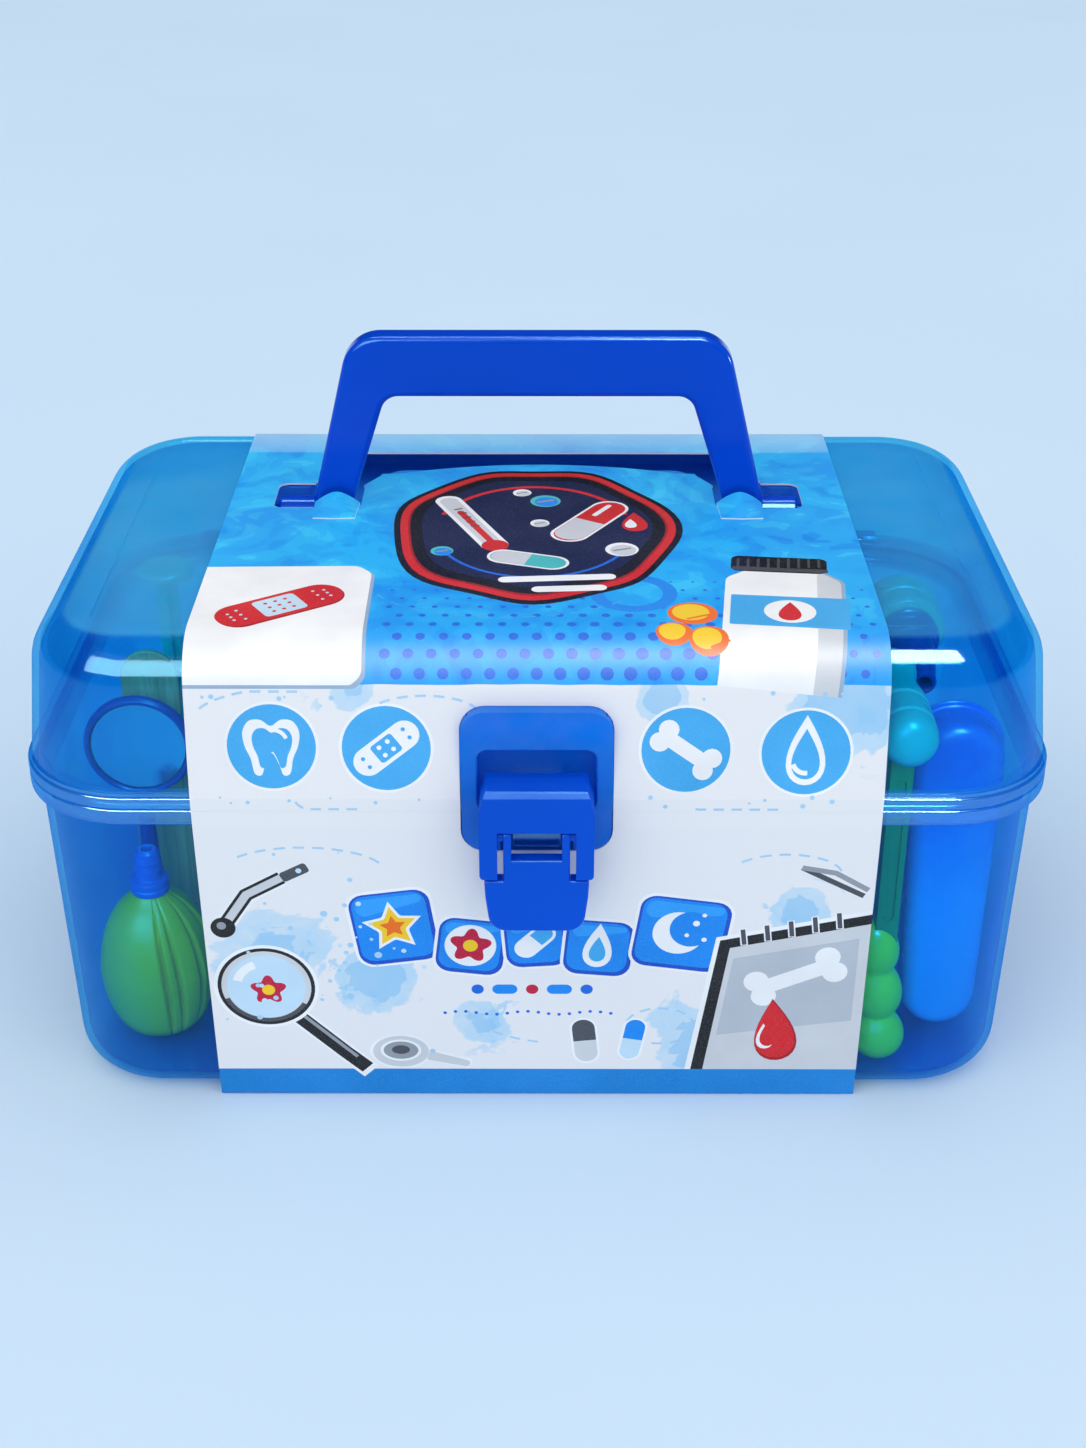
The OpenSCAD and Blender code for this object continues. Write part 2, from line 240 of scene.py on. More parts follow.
def boolean(ob, cutters, op="DIFFERENCE"):
    """applies one boolean after another with the manifold solver and removes the cutters."""
    for c in cutters if isinstance(cutters, (list, tuple)) else [cutters]:
        mod = ob.modifiers.new("b", "BOOLEAN")
        mod.operation = op
        mod.solver = "MANIFOLD"
        mod.object = c
        bpy.context.view_layer.update()
        dg = bpy.context.evaluated_depsgraph_get()
        me = bpy.data.meshes.new_from_object(ob.evaluated_get(dg), preserve_all_data_layers=True, depsgraph=dg)
        ob.modifiers.clear()
        old = ob.data
        ob.data = me
        bpy.data.meshes.remove(old)
        dead = c.data
        bpy.data.objects.remove(c)
        bpy.data.meshes.remove(dead)
    return ob


def join(name, obs):
    """one object out of several closed meshes; materials are shared by index."""
    bm = bmesh.new()
    for o in obs:
        bm.from_mesh(o.data)
    me = bpy.data.meshes.new(name)
    bm.to_mesh(me)
    bm.free()
    ob = link(bpy.data.objects.new(name, me))
    for o in obs:
        d = o.data
        bpy.data.objects.remove(o)
        bpy.data.meshes.remove(d)
    return ob


def finish_shape(ob, mats, angle=32.0, bevel=0.0, seg=3, weighted=True):
    me = ob.data
    which = [min(p.material_index, len(mats) - 1) for p in me.polygons]
    me.materials.clear()
    for m in mats:
        me.materials.append(m)
    me.polygons.foreach_set("material_index", which)
    me.polygons.foreach_set("use_smooth", [True] * len(me.polygons))
    me.set_sharp_from_angle(angle=rad(angle))
    if bevel > 0:
        b = ob.modifiers.new("bevel", "BEVEL")
        b.width = bevel * 0.001
        b.segments = seg
        b.limit_method = "ANGLE"
        b.angle_limit = rad(angle)
        b.use_clamp_overlap = True
        b.miter_outer = "MITER_ARC"
        b.harden_normals = False
    if weighted:
        w = ob.modifiers.new("normals", "WEIGHTED_NORMAL")
        w.weight = 100
        w.keep_sharp = True
    return ob


def bake_mods(ob):
    bpy.context.view_layer.update()
    dg = bpy.context.evaluated_depsgraph_get()
    me = bpy.data.meshes.new_from_object(ob.evaluated_get(dg), preserve_all_data_layers=True, depsgraph=dg)
    ob.modifiers.clear()
    old = ob.data
    ob.data = me
    bpy.data.meshes.remove(old)
    return ob


# ------------------------------------------------------------------ materials
def lin(r, g, b):
    def f(c):
        c /= 255.0
        return c / 12.92 if c <= 0.04045 else ((c + 0.055) / 1.055) ** 2.4
    return (f(r), f(g), f(b), 1.0)


class Nodes:
    """short helper for building a node tree."""

    def __init__(self, name):
        self.m = bpy.data.materials.new(name)
        self.m.use_nodes = True
        self.t = self.m.node_tree
        self.t.nodes.clear()
        self.out = self.t.nodes.new("ShaderNodeOutputMaterial")
        self.co = None

    def new(self, kind, **kw):
        n = self.t.nodes.new(kind)
        for k, v in kw.items():
            setattr(n, k, v)
        return n

    def put(self, sock, val):
        if isinstance(val, bpy.types.NodeSocket):
            self.t.links.new(val, sock)
        else:
            sock.default_value = val

    def coord(self):
        if self.co is None:
            self.co = self.new("ShaderNodeTexCoord").outputs["Object"]
        return self.co

    def mapping(self, scale=(1, 1, 1), loc=(0, 0, 0), rot=(0, 0, 0)):
        n = self.new("ShaderNodeMapping")
        self.put(n.inputs["Vector"], self.coord())
        n.inputs["Scale"].default_value = scale
        n.inputs["Location"].default_value = loc
        n.inputs["Rotation"].default_value = rot
        return n.outputs[0]

    def noise(self, scale, detail=3.0, rough=0.5, vec=None, dist=0.0):
        n = self.new("ShaderNodeTexNoise")
        self.put(n.inputs["Vector"], vec if vec is not None else self.coord())
        n.inputs["Scale"].default_value = scale
        n.inputs["Detail"].default_value = detail
        n.inputs["Roughness"].default_value = rough
        n.inputs["Distortion"].default_value = dist
        return n.outputs["Fac"]

    def voronoi(self, scale, feature="F1", vec=None, out="Distance", rnd=1.0):
        n = self.new("ShaderNodeTexVoronoi", feature=feature)
        self.put(n.inputs["Vector"], vec if vec is not None else self.coord())
        n.inputs["Scale"].default_value = scale
        if "Randomness" in n.inputs:
            n.inputs["Randomness"].default_value = rnd
        return n.outputs[out]

    def ramp(self, fac, stops, interp="LINEAR"):
        n = self.new("ShaderNodeValToRGB")
        n.color_ramp.interpolation = interp
        e = n.color_ramp.elements
        e[0].position, e[0].color = stops[0]
        e[1].position, e[1].color = stops[-1]
        for p, c in stops[1:-1]:
            x = e.new(p)
            x.color = c
        self.put(n.inputs["Fac"], fac)
        return n.outputs["Color"]

    def math(self, op, a, b=0.0, clamp=False):
        n = self.new("ShaderNodeMath", operation=op, use_clamp=clamp)
        self.put(n.inputs[0], a)
        self.put(n.inputs[1], b)
        return n.outputs[0]

    def rangemap(self, v, a, b, c=0.0, d=1.0, kind="LINEAR"):
        n = self.new("ShaderNodeMapRange", interpolation_type=kind)
        self.put(n.inputs["Value"], v)
        for s, x in (("From Min", a), ("From Max", b), ("To Min", c), ("To Max", d)):
            self.put(n.inputs[s], x)
        return n.outputs[0]

    def mix(self, fac, a, b, blend="MIX"):
        n = self.new("ShaderNodeMix", data_type="RGBA", blend_type=blend)
        self.put(n.inputs[0], fac)
        self.put(n.inputs[6], a)
        self.put(n.inputs[7], b)
        return n.outputs[2]

    def xyz(self):
        n = self.new("ShaderNodeSeparateXYZ")
        self.put(n.inputs[0], self.coord())
        return n.outputs

    def bump(self, height, strength=0.2, dist=0.0002, normal=None):
        n = self.new("ShaderNodeBump")
        n.inputs["Strength"].default_value = strength
        n.inputs["Distance"].default_value = dist
        self.put(n.inputs["Height"], height)
        if normal is not None:
            self.put(n.inputs["Normal"], normal)
        return n.outputs[0]

    def principled(self, color, rough, normal=None, **kw):
        n = self.new("ShaderNodeBsdfPrincipled")
        self.put(n.inputs["Base Color"], color)
        self.put(n.inputs["Roughness"], rough)
        if normal is not None:
            self.put(n.inputs["Normal"], normal)
        for k, v in kw.items():
            self.put(n.inputs[k.replace("_", " ")], v)
        return n.outputs[0]

    def finish(self, shader):
        self.t.links.new(shader, self.out.inputs["Surface"])
        return self.m


def clear_blue(name, tint, body, opacity_face, opacity_edge, rough=0.07, cloud=0.35, ior=1.36, top=0.0, rimmed=True):
    """translucent moulded plastic: tinted see-through, milky towards the edges, glossy skin with faint flow marks."""
    k = Nodes(name)
    flow = k.noise(14.0, 2.0, 0.5, k.mapping((1, 1, 2.2)), 0.6)
    fine = k.noise(900.0, 2.0, 0.5)
    scuff = k.noise(60.0, 5.0, 0.65, k.mapping((1, 1, 1), rot=(0.4, 0.2, 0.7)))
    nrm = k.bump(flow, 0.05, 0.003, k.bump(fine, 0.03, 0.0001))
    lw = k.new("ShaderNodeLayerWeight")
    lw.inputs["Blend"].default_value = 0.42
    facing = k.math("POWER", lw.outputs["Facing"], 3.2)
    milky = k.rangemap(flow, 0.35, 0.7, 1.0 - cloud * 0.5, 1.0 + cloud * 0.5)
    op = k.math("MULTIPLY", k.rangemap(facing, 0.0, 1.0, opacity_face, opacity_edge), milky, True)
    px, py, pz = k.xyz()
    # the joined rims at the parting line are the glossiest part
    rim = k.math("MULTIPLY", k.rangemap(pz, 0.0862, 0.0868, 0.0, 1.0), k.rangemap(pz, 0.0957, 0.0962, 1.0, 0.0))
    if not rimmed:
        rim = 0.0
    skin = body
    if top:
        # the flat top panel is a little thicker and milkier than the walls, and its lighter skin is partly painted
        # sheen standing in for the sky on the upward face; the handle channel is more opaque and lighter still, partly
        # painted light lifting the shade under the card
        panel = k.rangemap(pz, 0.1322, 0.1330, 0.0, 1.0, "SMOOTHSTEP")
        near_x = k.rangemap(k.math("ABSOLUTE", px), 0.0755, 0.0765, 1.0, 0.0)
        near_y = k.rangemap(k.math("ABSOLUTE", k.math("SUBTRACT", py, 0.039)), 0.0330, 0.0340, 1.0, 0.0)
        channel_opaque_and_lit = k.math("MULTIPLY", k.math("MULTIPLY", near_x, near_y), k.rangemap(pz, 0.1205, 0.1210, 0.0, 1.0))
        op = k.math("ADD", op, k.math("MULTIPLY", k.math("MULTIPLY", panel, top), milky), True)
        op = k.math("ADD", op, k.math("MULTIPLY", channel_opaque_and_lit, 0.62), True)
        # painted sheen and painted light: the top panel's skin is painted lighter, the channel's lighter still
        skin = k.mix(channel_opaque_and_lit, k.mix(panel, body, lin(84, 206, 255)), lin(44, 156, 255))
    op = k.math("ADD", op, k.math("MULTIPLY", rim, 0.36), True)
    # light on its way in is held back less than the line of sight, so the inside stays lit
    shadow = k.new("ShaderNodeLightPath").outputs["Is Shadow Ray"]
    op = k.math("MULTIPLY", op, k.math("SUBTRACT", 1.0, k.math("MULTIPLY", shadow, 0.85)))
    see = k.new("ShaderNodeBsdfTransparent")
    tone = k.mix(k.rangemap(flow, 0.3, 0.7), tint, tuple(c * 0.96 for c in tint[:3]) + (1,))
    k.put(see.inputs["Color"], k.mix(shadow, tone, (0.83, 0.955, 1.0, 1)))
    dif = k.new("ShaderNodeBsdfDiffuse")
    k.put(dif.inputs["Color"], k.mix(k.rangemap(scuff, 0.35, 0.75, 0.0, 0.06), skin, (1, 1, 1, 1)))
    tra = k.new("ShaderNodeBsdfTranslucent")
    k.put(tra.inputs["Color"], skin)
    b = k.new("ShaderNodeMixShader")
    b.inputs[0].default_value = 0.35
    k.t.links.new(dif.outputs[0], b.inputs[1])
    k.t.links.new(tra.outputs[0], b.inputs[2])
    a = k.new("ShaderNodeMixShader")
    k.put(a.inputs[0], op)
    k.t.links.new(see.outputs[0], a.inputs[1])
    k.t.links.new(b.outputs[0], a.inputs[2])
    gl = k.new("ShaderNodeBsdfGlossy")
    gl.inputs["Color"].default_value = (0.5, 0.85, 1, 1)
    k.put(gl.inputs["Roughness"], k.math("ADD", k.rangemap(scuff, 0.3, 0.8, rough * 0.8, rough * 1.6), k.math("MULTIPLY", rim, 0.07)))
    k.put(gl.inputs["Normal"], nrm)
    fr = k.new("ShaderNodeFresnel")
    fr.inputs["IOR"].default_value = ior
    k.put(fr.inputs["Normal"], nrm)
    s = k.new("ShaderNodeMixShader")
    mirror = k.math("MAXIMUM", k.math("MINIMUM", fr.outputs[0], 0.14), k.math("MULTIPLY", rim, 0.16))
    k.put(s.inputs[0], k.math("MULTIPLY", mirror, k.math("SUBTRACT", 0.9, k.math("MULTIPLY", shadow, 0.85))))
    k.t.links.new(a.outputs[0], s.inputs[1])
    k.t.links.new(gl.outputs[0], s.inputs[2])
    return k.finish(s.outputs[0])


def solid_plastic(name, color, rough=0.24, coat=0.0, grain=0.05, vary=0.10, spec=0.45, sss=0.0, waves=0.05):
    """opaque moulded plastic with soft colour variation, flow marks and fine wear."""
    k = Nodes(name)
    flow = k.noise(22.0, 3.0, 0.5, None, 0.4)
    fine = k.noise(1400.0, 2.0, 0.5)
    wear = k.noise(120.0, 6.0, 0.7)
    c = k.mix(k.rangemap(flow, 0.3, 0.7), tuple(x * (1 - vary) for x in color[:3]) + (1,), tuple(min(1, x * (1 + vary)) for x in color[:3]) + (1,))
    r = k.rangemap(wear, 0.35, 0.75, rough * 0.9, rough * 1.15)
    n = k.bump(flow, waves, 0.002, k.bump(fine, grain, 0.0001))
    kw = {"Specular_IOR_Level": spec, "Specular_Tint": (0.3, 0.72, 1.0, 1.0)}
    if coat:
        kw["Coat_Weight"] = coat
        kw["Coat_Roughness"] = 0.06
    return k.finish(k.principled(c, r, n, **kw))


def ink(name, color, rough=0.46, mottle=0.06, second=None):
    """one printed colour on coated card: slight ink mottle, paper tooth and a soft sheen."""
    k = Nodes(name)
    big = k.noise(45.0, 3.0, 0.55)
    tooth = k.noise(2600.0, 2.0, 0.6)
    lo = tuple(x * (1 - mottle) for x in color[:3]) + (1,)
    hi = second or tuple(min(1, x * (1 + mottle) + 0.004) for x in color[:3]) + (1,)
    c = k.mix(k.rangemap(big, 0.3, 0.7), lo, hi)
    c = k.mix(k.math("MULTIPLY", k.rangemap(tooth, 0.45, 0.8), 0.05), c, (1, 1, 1, 1))
    r = k.rangemap(big, 0.3, 0.75, rough * 0.85, rough * 1.2)
    n = k.bump(tooth, 0.05, 0.0001, k.bump(k.noise(28.0, 2.0, 0.5), 0.05, 0.001))
    return k.finish(k.principled(c, r, n, Specular_IOR_Level=0.22))


M_TUB = clear_blue("tub_blue", lin(146, 224, 253), lin(0, 146, 250), 0.035, 0.62)
M_LID = clear_blue("lid_blue", lin(148, 234, 255), lin(10, 156, 250), 0.05, 0.60, top=0.36, cloud=0.8)
M_PAD = clear_blue("pad_blue", lin(60, 160, 250), lin(0, 140, 255), 0.84, 0.92, rough=0.12, rimmed=False)
M_SOLID = solid_plastic("solid_blue", lin(0, 70, 207), rough=0.17, coat=0.0, spec=0.3, vary=0.05, waves=0.012)
M_SOLID2 = solid_plastic("solid_blue_latch", lin(0, 76, 208), rough=0.24, coat=0.0, grain=0.05, spec=0.3, vary=0.05)


# ------------------------------------------------------------------ tub
def ring(z, a, b, r):
    return [(x, y, z) for x, y in rr(a, b, r)]


def tub_d(z):
    return 2.7 + 0.0215 * (86.8 - z)


def tub_ring(z, extra):
    d = tub_d(z) + extra
    return ring(z, HX - d, HY - d, 26.0 - extra)


def rim_ring(z, d):
    return ring(z, HX - d, HY - d, RIM_R - d)


def make_tub():
    rings = []
    for i in range(13):
        a = rad(i * 7.5)
        rings.append(tub_ring(0.5 + 9 * (1 - cos(a)), 9 * (1 - sin(a))))
    for z in (24, 45, 66, 85.9):
        rings.append(tub_ring(z, 0))
    for t in (30, 60, 90):      # hollow under the rim
        a = rad(t)
        rings.append(rim_ring(85.9 + 0.9 * sin(a), 2.7 - 0.9 * (1 - cos(a))))
    for t in range(0, 91, 15):  # lower edge of the rim
        a = rad(t)
        rings.append(rim_ring(88.0 - 1.2 * cos(a), 1.2 * (1 - sin(a))))
    rings.append(rim_ring(90.75, 0))
    for t in (30, 60, 90):
        a = rad(t)
        rings.append(rim_ring(90.75 + 0.6 * sin(a), 0.6 * (1 - cos(a))))
    rings.append(rim_ring(91.4, 0.8))
    rings.append(rim_ring(91.4, 2.95))
    for z, d in ((92.5, 3.0), (92.75, 3.1), (92.85, 3.35), (92.85, 4.05), (92.75, 4.3), (92.5, 4.42)):
        rings.append(rim_ring(z, d))
    for z in (88, 66, 45, 24):
        rings.append(tub_ring(z, WALL))
    for i in range(12, -1, -1):
        a = rad(i * 7.5)
        rings.append(tub_ring(2.3 + 7.2 * (1 - cos(a)), WALL + 7.2 * (1 - sin(a))))
    tub = loft("tub_body", rings)
    boolean(tub, box("c", -19, 19, -HY - 3, -HY + 1.35, 70, 95))
    catch = prism("c", round_poly([(-77, 83.6), (-84.6, 83.6), (-86, 85), (-86, 89), (-84, 91), (-77, 91)], [0, .4, .5, .8, .8, 0], 4), "x", [(-5.8, -0.3), (-5.5, 0), (5.5, 0), (5.8, -0.3)])
    parts = [catch]
    for s in (-1, 1):
        for x in (-7, 7):
            c0 = s * 97 + x
            parts.append(rod_x("c", c0 - 2, c0 + 2, HINGE_Y, HINGE_Z, 3.39, 0.35))
            parts.append(box("c", c0 - 1.9, c0 + 1.9, HY - 1.9, HINGE_Y, HINGE_Z - 3.35, PART_Z - 0.1))
    boolean(tub, parts, "UNION")
    boolean(tub, [rod_x("c", s * 97 - 12, s * 97 + 12, HINGE_Y, HINGE_Z, 1.5, n=24) for s in (-1, 1)])
    finish_shape(tub, [M_TUB], 34)
    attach(tub, "tub")
    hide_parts("tub")
    return tub


# ------------------------------------------------------------------ lid
def lid_d(z):
    return 0.5 + 0.116 * (z - PART_Z)


def lid_ring(z, extra):
    d = lid_d(z) + extra
    return ring(z, HX - d, HY - d, RIM_R + 1 - d)


EC = lid_d(EDGE_Z) + EDGE_R / cos(DA)     # inset of the edge arc's centre line


def lid_arc(r, a):
    d = EC - r * cos(a)
    return ring(EDGE_Z + r * sin(a), HX - d, HY - d, RIM_R + 1 - d)


CHAN = ccw(round_poly(
    [(0, 40), (42.27, 40), (44.8, 30), (48.5, 12), (48.5, 9), (73, 9), (73, 27), (63.6, 27), (57.5, 69.5), (0, 69.5),
     (-57.5, 69.5), (-63.6, 27), (-73, 27), (-73, 9), (-48.5, 9), (-48.5, 12), (-44.8, 30), (-42.27, 40)],
    [0, 6, 3, 1, 2, 3, 3, 2, 7, 0, 7, 2, 3, 3, 2, 1, 3, 6], 5))


def make_lid():
    rings = [lid_ring(91.6, 0.35), rim_ring(91.68, 0.18), rim_ring(91.9, 0.04), rim_ring(92.1, 0.0), rim_ring(94.15, 0.0)]
    for t in (30, 60, 90):
        a = rad(t)
        rings.append(rim_ring(94.15 + 0.6 * sin(a), 0.6 * (1 - cos(a))))
    rings += [rim_ring(94.8, 0.66), rim_ring(95.5, 0.68), rim_ring(95.68, 0.74), rim_ring(95.74, 0.86)]
    rings += [lid_ring(z, 0) for z in (95.75, 96.4, 104, 112)]
    rings += [lid_arc(EDGE_R, DA + (math.pi / 2 - DA) * i / 14) for i in range(15)]
    # shallow step round the flat top panel
    a, b = HX - EC, HY - EC
    rings += [ring(133.3, a - 3.3, b - 0.7, 6.2), ring(133.24, a - 3.5, b - 0.85, 6.0), ring(133.0, a - 3.66, b - 1.0, 5.9), ring(132.95, a - 3.9, b - 1.2, 5.7)]
    outer = len(rings)
    inner = [lid_arc(EDGE_R - WALL, DA + (math.pi / 2 - DA) * i / 10) for i in range(10, -1, -1)]
    inner += [lid_ring(z, WALL) for z in (112, 104, 96, 92.1)] + [lid_ring(91.75, WALL - 0.1), lid_ring(91.6, WALL - 0.3)]
    # bottom ring is shared: go inner top -> inner bottom -> outer bottom -> outer top
    lid = loft("lid_body", inner + rings)
    parts = [prism("c", CHAN, "z", [(122.0, 1.0), (122.2, 1.4), (122.8, 1.6), (132.2, 1.6)])]
    for s in (-1, 1):
        parts.append(prism("c", round_poly([(s * 74 - 1.2 * s, 11.2), (s * 77.2, 11.2), (s * 77.2, 24.8), (s * 74 - 1.2 * s, 24.8)], 0.8, 3), "z", [(122, 0), (132.2, 0)]))
    pad = ccw([(x, z + 99.5) for x, z in rr(18.5, 19.4, 6, 12)])
    frame_part = prism("c", pad, "y", [(-HY - 0.35, 0), (-74, 0)], midx=1)
    boolean(frame_part, box("k", -30, 30, -90, -60, 60, PART_Z + 0.1, midx=1))
    boolean(frame_part, box("k", -16.9, 16.9, -HY + 1.15, -60, PART_Z - 2, 117.2, midx=1))
    parts.append(frame_part)
    parts.append(prism("c", pad, "y", [(-HY - 0.45, -0.5), (-HY - 0.42, -0.3), (-HY - 0.3, -0.1), (-HY - 0.1, 0), (-HY + 1.05, 0)], midx=1))
    parts.append(box("c", -16, 16, -HY + 0.3, -73, 90.4, 110, midx=1))
    boolean(lid, parts, "UNION")
    # the channel's rear wall is trimmed to the rounded rear edge
    r = EDGE_R + 0.03
    over = [(HY - EC + r * cos(t), EDGE_Z + r * sin(t)) for t in [math.pi / 2 - (math.pi / 2 - DA) * i / 28 for i in range(29)]]
    over = ccw(over + [(HY + 4, over[-1][1]), (HY + 4, 140), (HY - EC, 140)])
    boolean(lid, prism("c", over, "x", [(-62.0, 0), (62.0, 0)]))
    cuts = [prism("c", CHAN, "z", [(123.6, -1.2), (123.75, -0.7), (124.1, -0.25), (124.8, 0), (132.3, 0), (132.7, 0.12), (132.9, 0.4), (133.0, 0.7), (134.6, 0.7)])]
    pocket = ccw([(x, z + 100.1) for x, z in rr(14.4, 8.3, 2.5, 8)])
    cuts.append(prism("c", pocket, "y", [(-HY - 3, 0.55), (-HY - 0.46, 0.55), (-HY - 0.36, 0.28), (-HY - 0.1, 0.08), (-HY + 0.2, 0), (-75.4, 0), (-74.85, -0.25), (-74.6, -0.8)], midx=1))
    cuts.append(box("c", -9, 9, -HY - 3, -70, 70, 91.75, midx=1))
    cuts.append(box("c", -30, 30, -HY + 1.05, -60, 70, PART_Z + 0.1, midx=1))
    cuts += [rod_x("c", s * 70, s * 75.5, PIV_Y, PIV_Z, 2.07, n=24) for s in (-1, 1)]
    boolean(lid, cuts)
    more = []
    for s in (-1, 1):
        more.append(rod_x("c", s * 97 - 4.7, s * 97 + 4.7, HINGE_Y, HINGE_Z, 3.39, 0.35))
        more.append(box("c", s * 97 - 4.6, s * 97 + 4.6, HY - 1.2, HINGE_Y, PART_Z + 0.12, HINGE_Z + 3.35))
        more.append(rod_x("c", s * 9.4, s * 11.4, -83.5, 97.5, 2.7, 0.3, midx=1))
        more.append(rod_x("c", s * 11.3, s * 13.2, -83.5, 97.5, 1.5, 0.2, n=24, midx=1))
        more.append(prism("c", [(-86.0, 96.6), (-83.4, 92.4), (-81.6, 91.8), (-74.3, 91.8), (-74.3, 92.8), (-76, 92.9), (-80.9, 96.1), (-81.6, 99.2)], "x", [(s * 9.4, 0), (s * 11.4, 0)], midx=1))
    boolean(lid, more, "UNION")
    boolean(lid, [rod_x("c", s * 97 - 8, s * 97 + 8, HINGE_Y, HINGE_Z, 1.57, n=24) for s in (-1, 1)])
    finish_shape(lid, [M_LID, M_PAD], 34)
    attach(lid, "lid")
    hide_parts("lid")
    return lid


tub = make_tub()
lid = make_lid()


# ------------------------------------------------------------------ hinge pins
def make_pins():
    parts = []
    for s in (-1, 1):
        c = s * 97
        parts.append(prism("c", circle(HINGE_Y, HINGE_Z, 1.48, 32), "x", edge_stations(c - 9, c + 9, 0.4)))
    ob = join("hinge_pins_blue", parts)
    finish_shape(ob, [M_SOLID], 34)
    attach(ob, "tub")
    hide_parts("hinge_pins")


make_pins()


# ------------------------------------------------------------------ handle
def make_handle():
    out = []
    # outline of the bow, seen from the front, counter-clockwise from the right foot
    right_o, right_i = 62.98, 52.38
    corners = [(right_i, PIV_Z), (right_o, PIV_Z), (50.4, 180.5), (-50.4, 180.5), (-right_o, PIV_Z), (-right_i, PIV_Z), (-41.2, 163.7), (41.2, 163.7)]
    outline = ccw(round_poly(corners, [0, 0, 10.5, 10.5, 0, 0, 5, 5], 14))
    bow = prism("c", outline, "y", edge_stations(14.0, 22.0, 1.7, 6))
    parts = []
    for s in (-1, 1):
        prof = circle(PIV_Y, PIV_Z, 4.3, 48)
        a, b = sorted((s * 52.3, s * 71.8))
        parts.append(prism("c", prof, "x", edge_stations(a, b, 0.9, 5)))
        a, b = sorted((s * 71.2, s * 75.0))
        parts.append(prism("c", circle(PIV_Y, PIV_Z, 2.0, 32), "x", edge_stations(a, b, 0.35)))
    boolean(bow, parts, "UNION")
    bow.name = "carry_handle"
    finish_shape(bow, [M_SOLID], 36)
    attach(bow, "handle")
    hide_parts("handle")
    return bow


make_handle()


# ------------------------------------------------------------------ latch
def make_hood():
    # side profile (y, z): outer skin and hollow behind
    outer = round_poly([(-81.0, 103.1), (-81.0, 95.9), (-83.2, 94.2), (-88.8, 91.9), (-88.8, 78.4), (-92.0, 78.4), (-92.0, 101.2), (-90.7, 102.7), (-84.6, 103.3)],
                       [1.2, 1.2, 2, 1.2, 0, 0.5, 0.9, 0.8, 4], 5)
    hood = prism("latch_hood_shell", outer, "x", [(-13.9, 0), (13.9, 0)])
    # front view, narrowing towards the top, with rounded corners
    front = round_poly([(-13.9, 78.4), (13.9, 78.4), (13.9, 97.5), (12.1, 103.6), (-12.1, 103.6), (-13.9, 97.5)], [1.5, 1.5, 5, 2.6, 2.6, 5], 7)
    keep = prism("k", front, "y", [(-93.5, 0), (-79.0, 0)])
    boolean(hood, keep, "INTERSECT")
    # hollow behind the plates, between the cheeks
    hollow = round_poly([(-78, 100.6), (-89.6, 100.2), (-89.6, 91.0), (-78, 91.0)], [0, 1.0, 0, 0], 4)
    boolean(hood, prism("k", hollow, "x", [(-11.7, 0), (11.7, 0)]))
    boolean(hood, box("k", -11.7, 11.7, -82.5, -78, 95, 105))
    win = round_poly([(-9.55, 70), (9.55, 70), (9.55, 91.9), (-9.55, 91.9)], [0, 0, 0.35, 0.35], 3)
    boolean(hood, prism("k", win, "y", [(-95, 0), (-78, 0)]))
    # the rear of the arms is thinned down to 4.6 mm
    boolean(hood, box("k", -20, 20, -87.4, -78, 70, 91.85))
    for s in (-1, 1):
        boolean(hood, [rod_x("k", s * 9, s * 12.5, -89.8, 89.8, 1.27, n=20), rod_x("k", s * 11, s * 13.4, -83.5, 97.5, 1.57, n=20)])
    finish_shape(hood, [M_SOLID2], 30, bevel=0.42, seg=3)
    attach(hood, "latch_hood")
    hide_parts("latch_hood")
    return hood


def make_lever():
    front = round_poly([(-8.1, 83.8), (-8.1, 77.9), (-12.85, 77.9), (-12.6, 73.0), (-11.4, 63.2), (11.4, 63.2), (12.6, 73.0), (12.85, 77.9), (8.1, 77.9), (8.1, 83.8)],
                       [0, 0.4, 0.7, 8, 4.6, 4.6, 8, 0.7, 0.4, 0], 8)
    body = prism("latch_lever_body", front, "y", [(-91.6, -0.7), (-91.53, -0.42), (-91.35, -0.2), (-91.1, -0.05), (-90.8, 0), (-88.2, 0), (-87.8, -0.15), (-87.6, -0.5)])
    parts = []
    for s in (-1, 1):
        a, b = sorted((s * 6.1, s * 8.1))
        prof = [(-88.0, 82.4), (-91.6, 82.4)] + [(-89.8 + 1.8 * cos(rad(t)), 89.8 + 1.8 * sin(rad(t))) for t in range(180, -1, -12)]
        parts.append(prism("k", prof, "x", edge_stations(a, b, 0.35, 3)))
        a, b = sorted((s * 7.9, s * 12.2))
        parts.append(prism("k", circle(-89.8, 89.8, 1.2, 28), "x", edge_stations(a, b, 0.25, 3)))
    boolean(body, parts, "UNION")
    finish_shape(body, [M_SOLID2], 32)
    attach(body, "latch_lever")
    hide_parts("latch_lever")
    return body


make_hood()
make_lever()


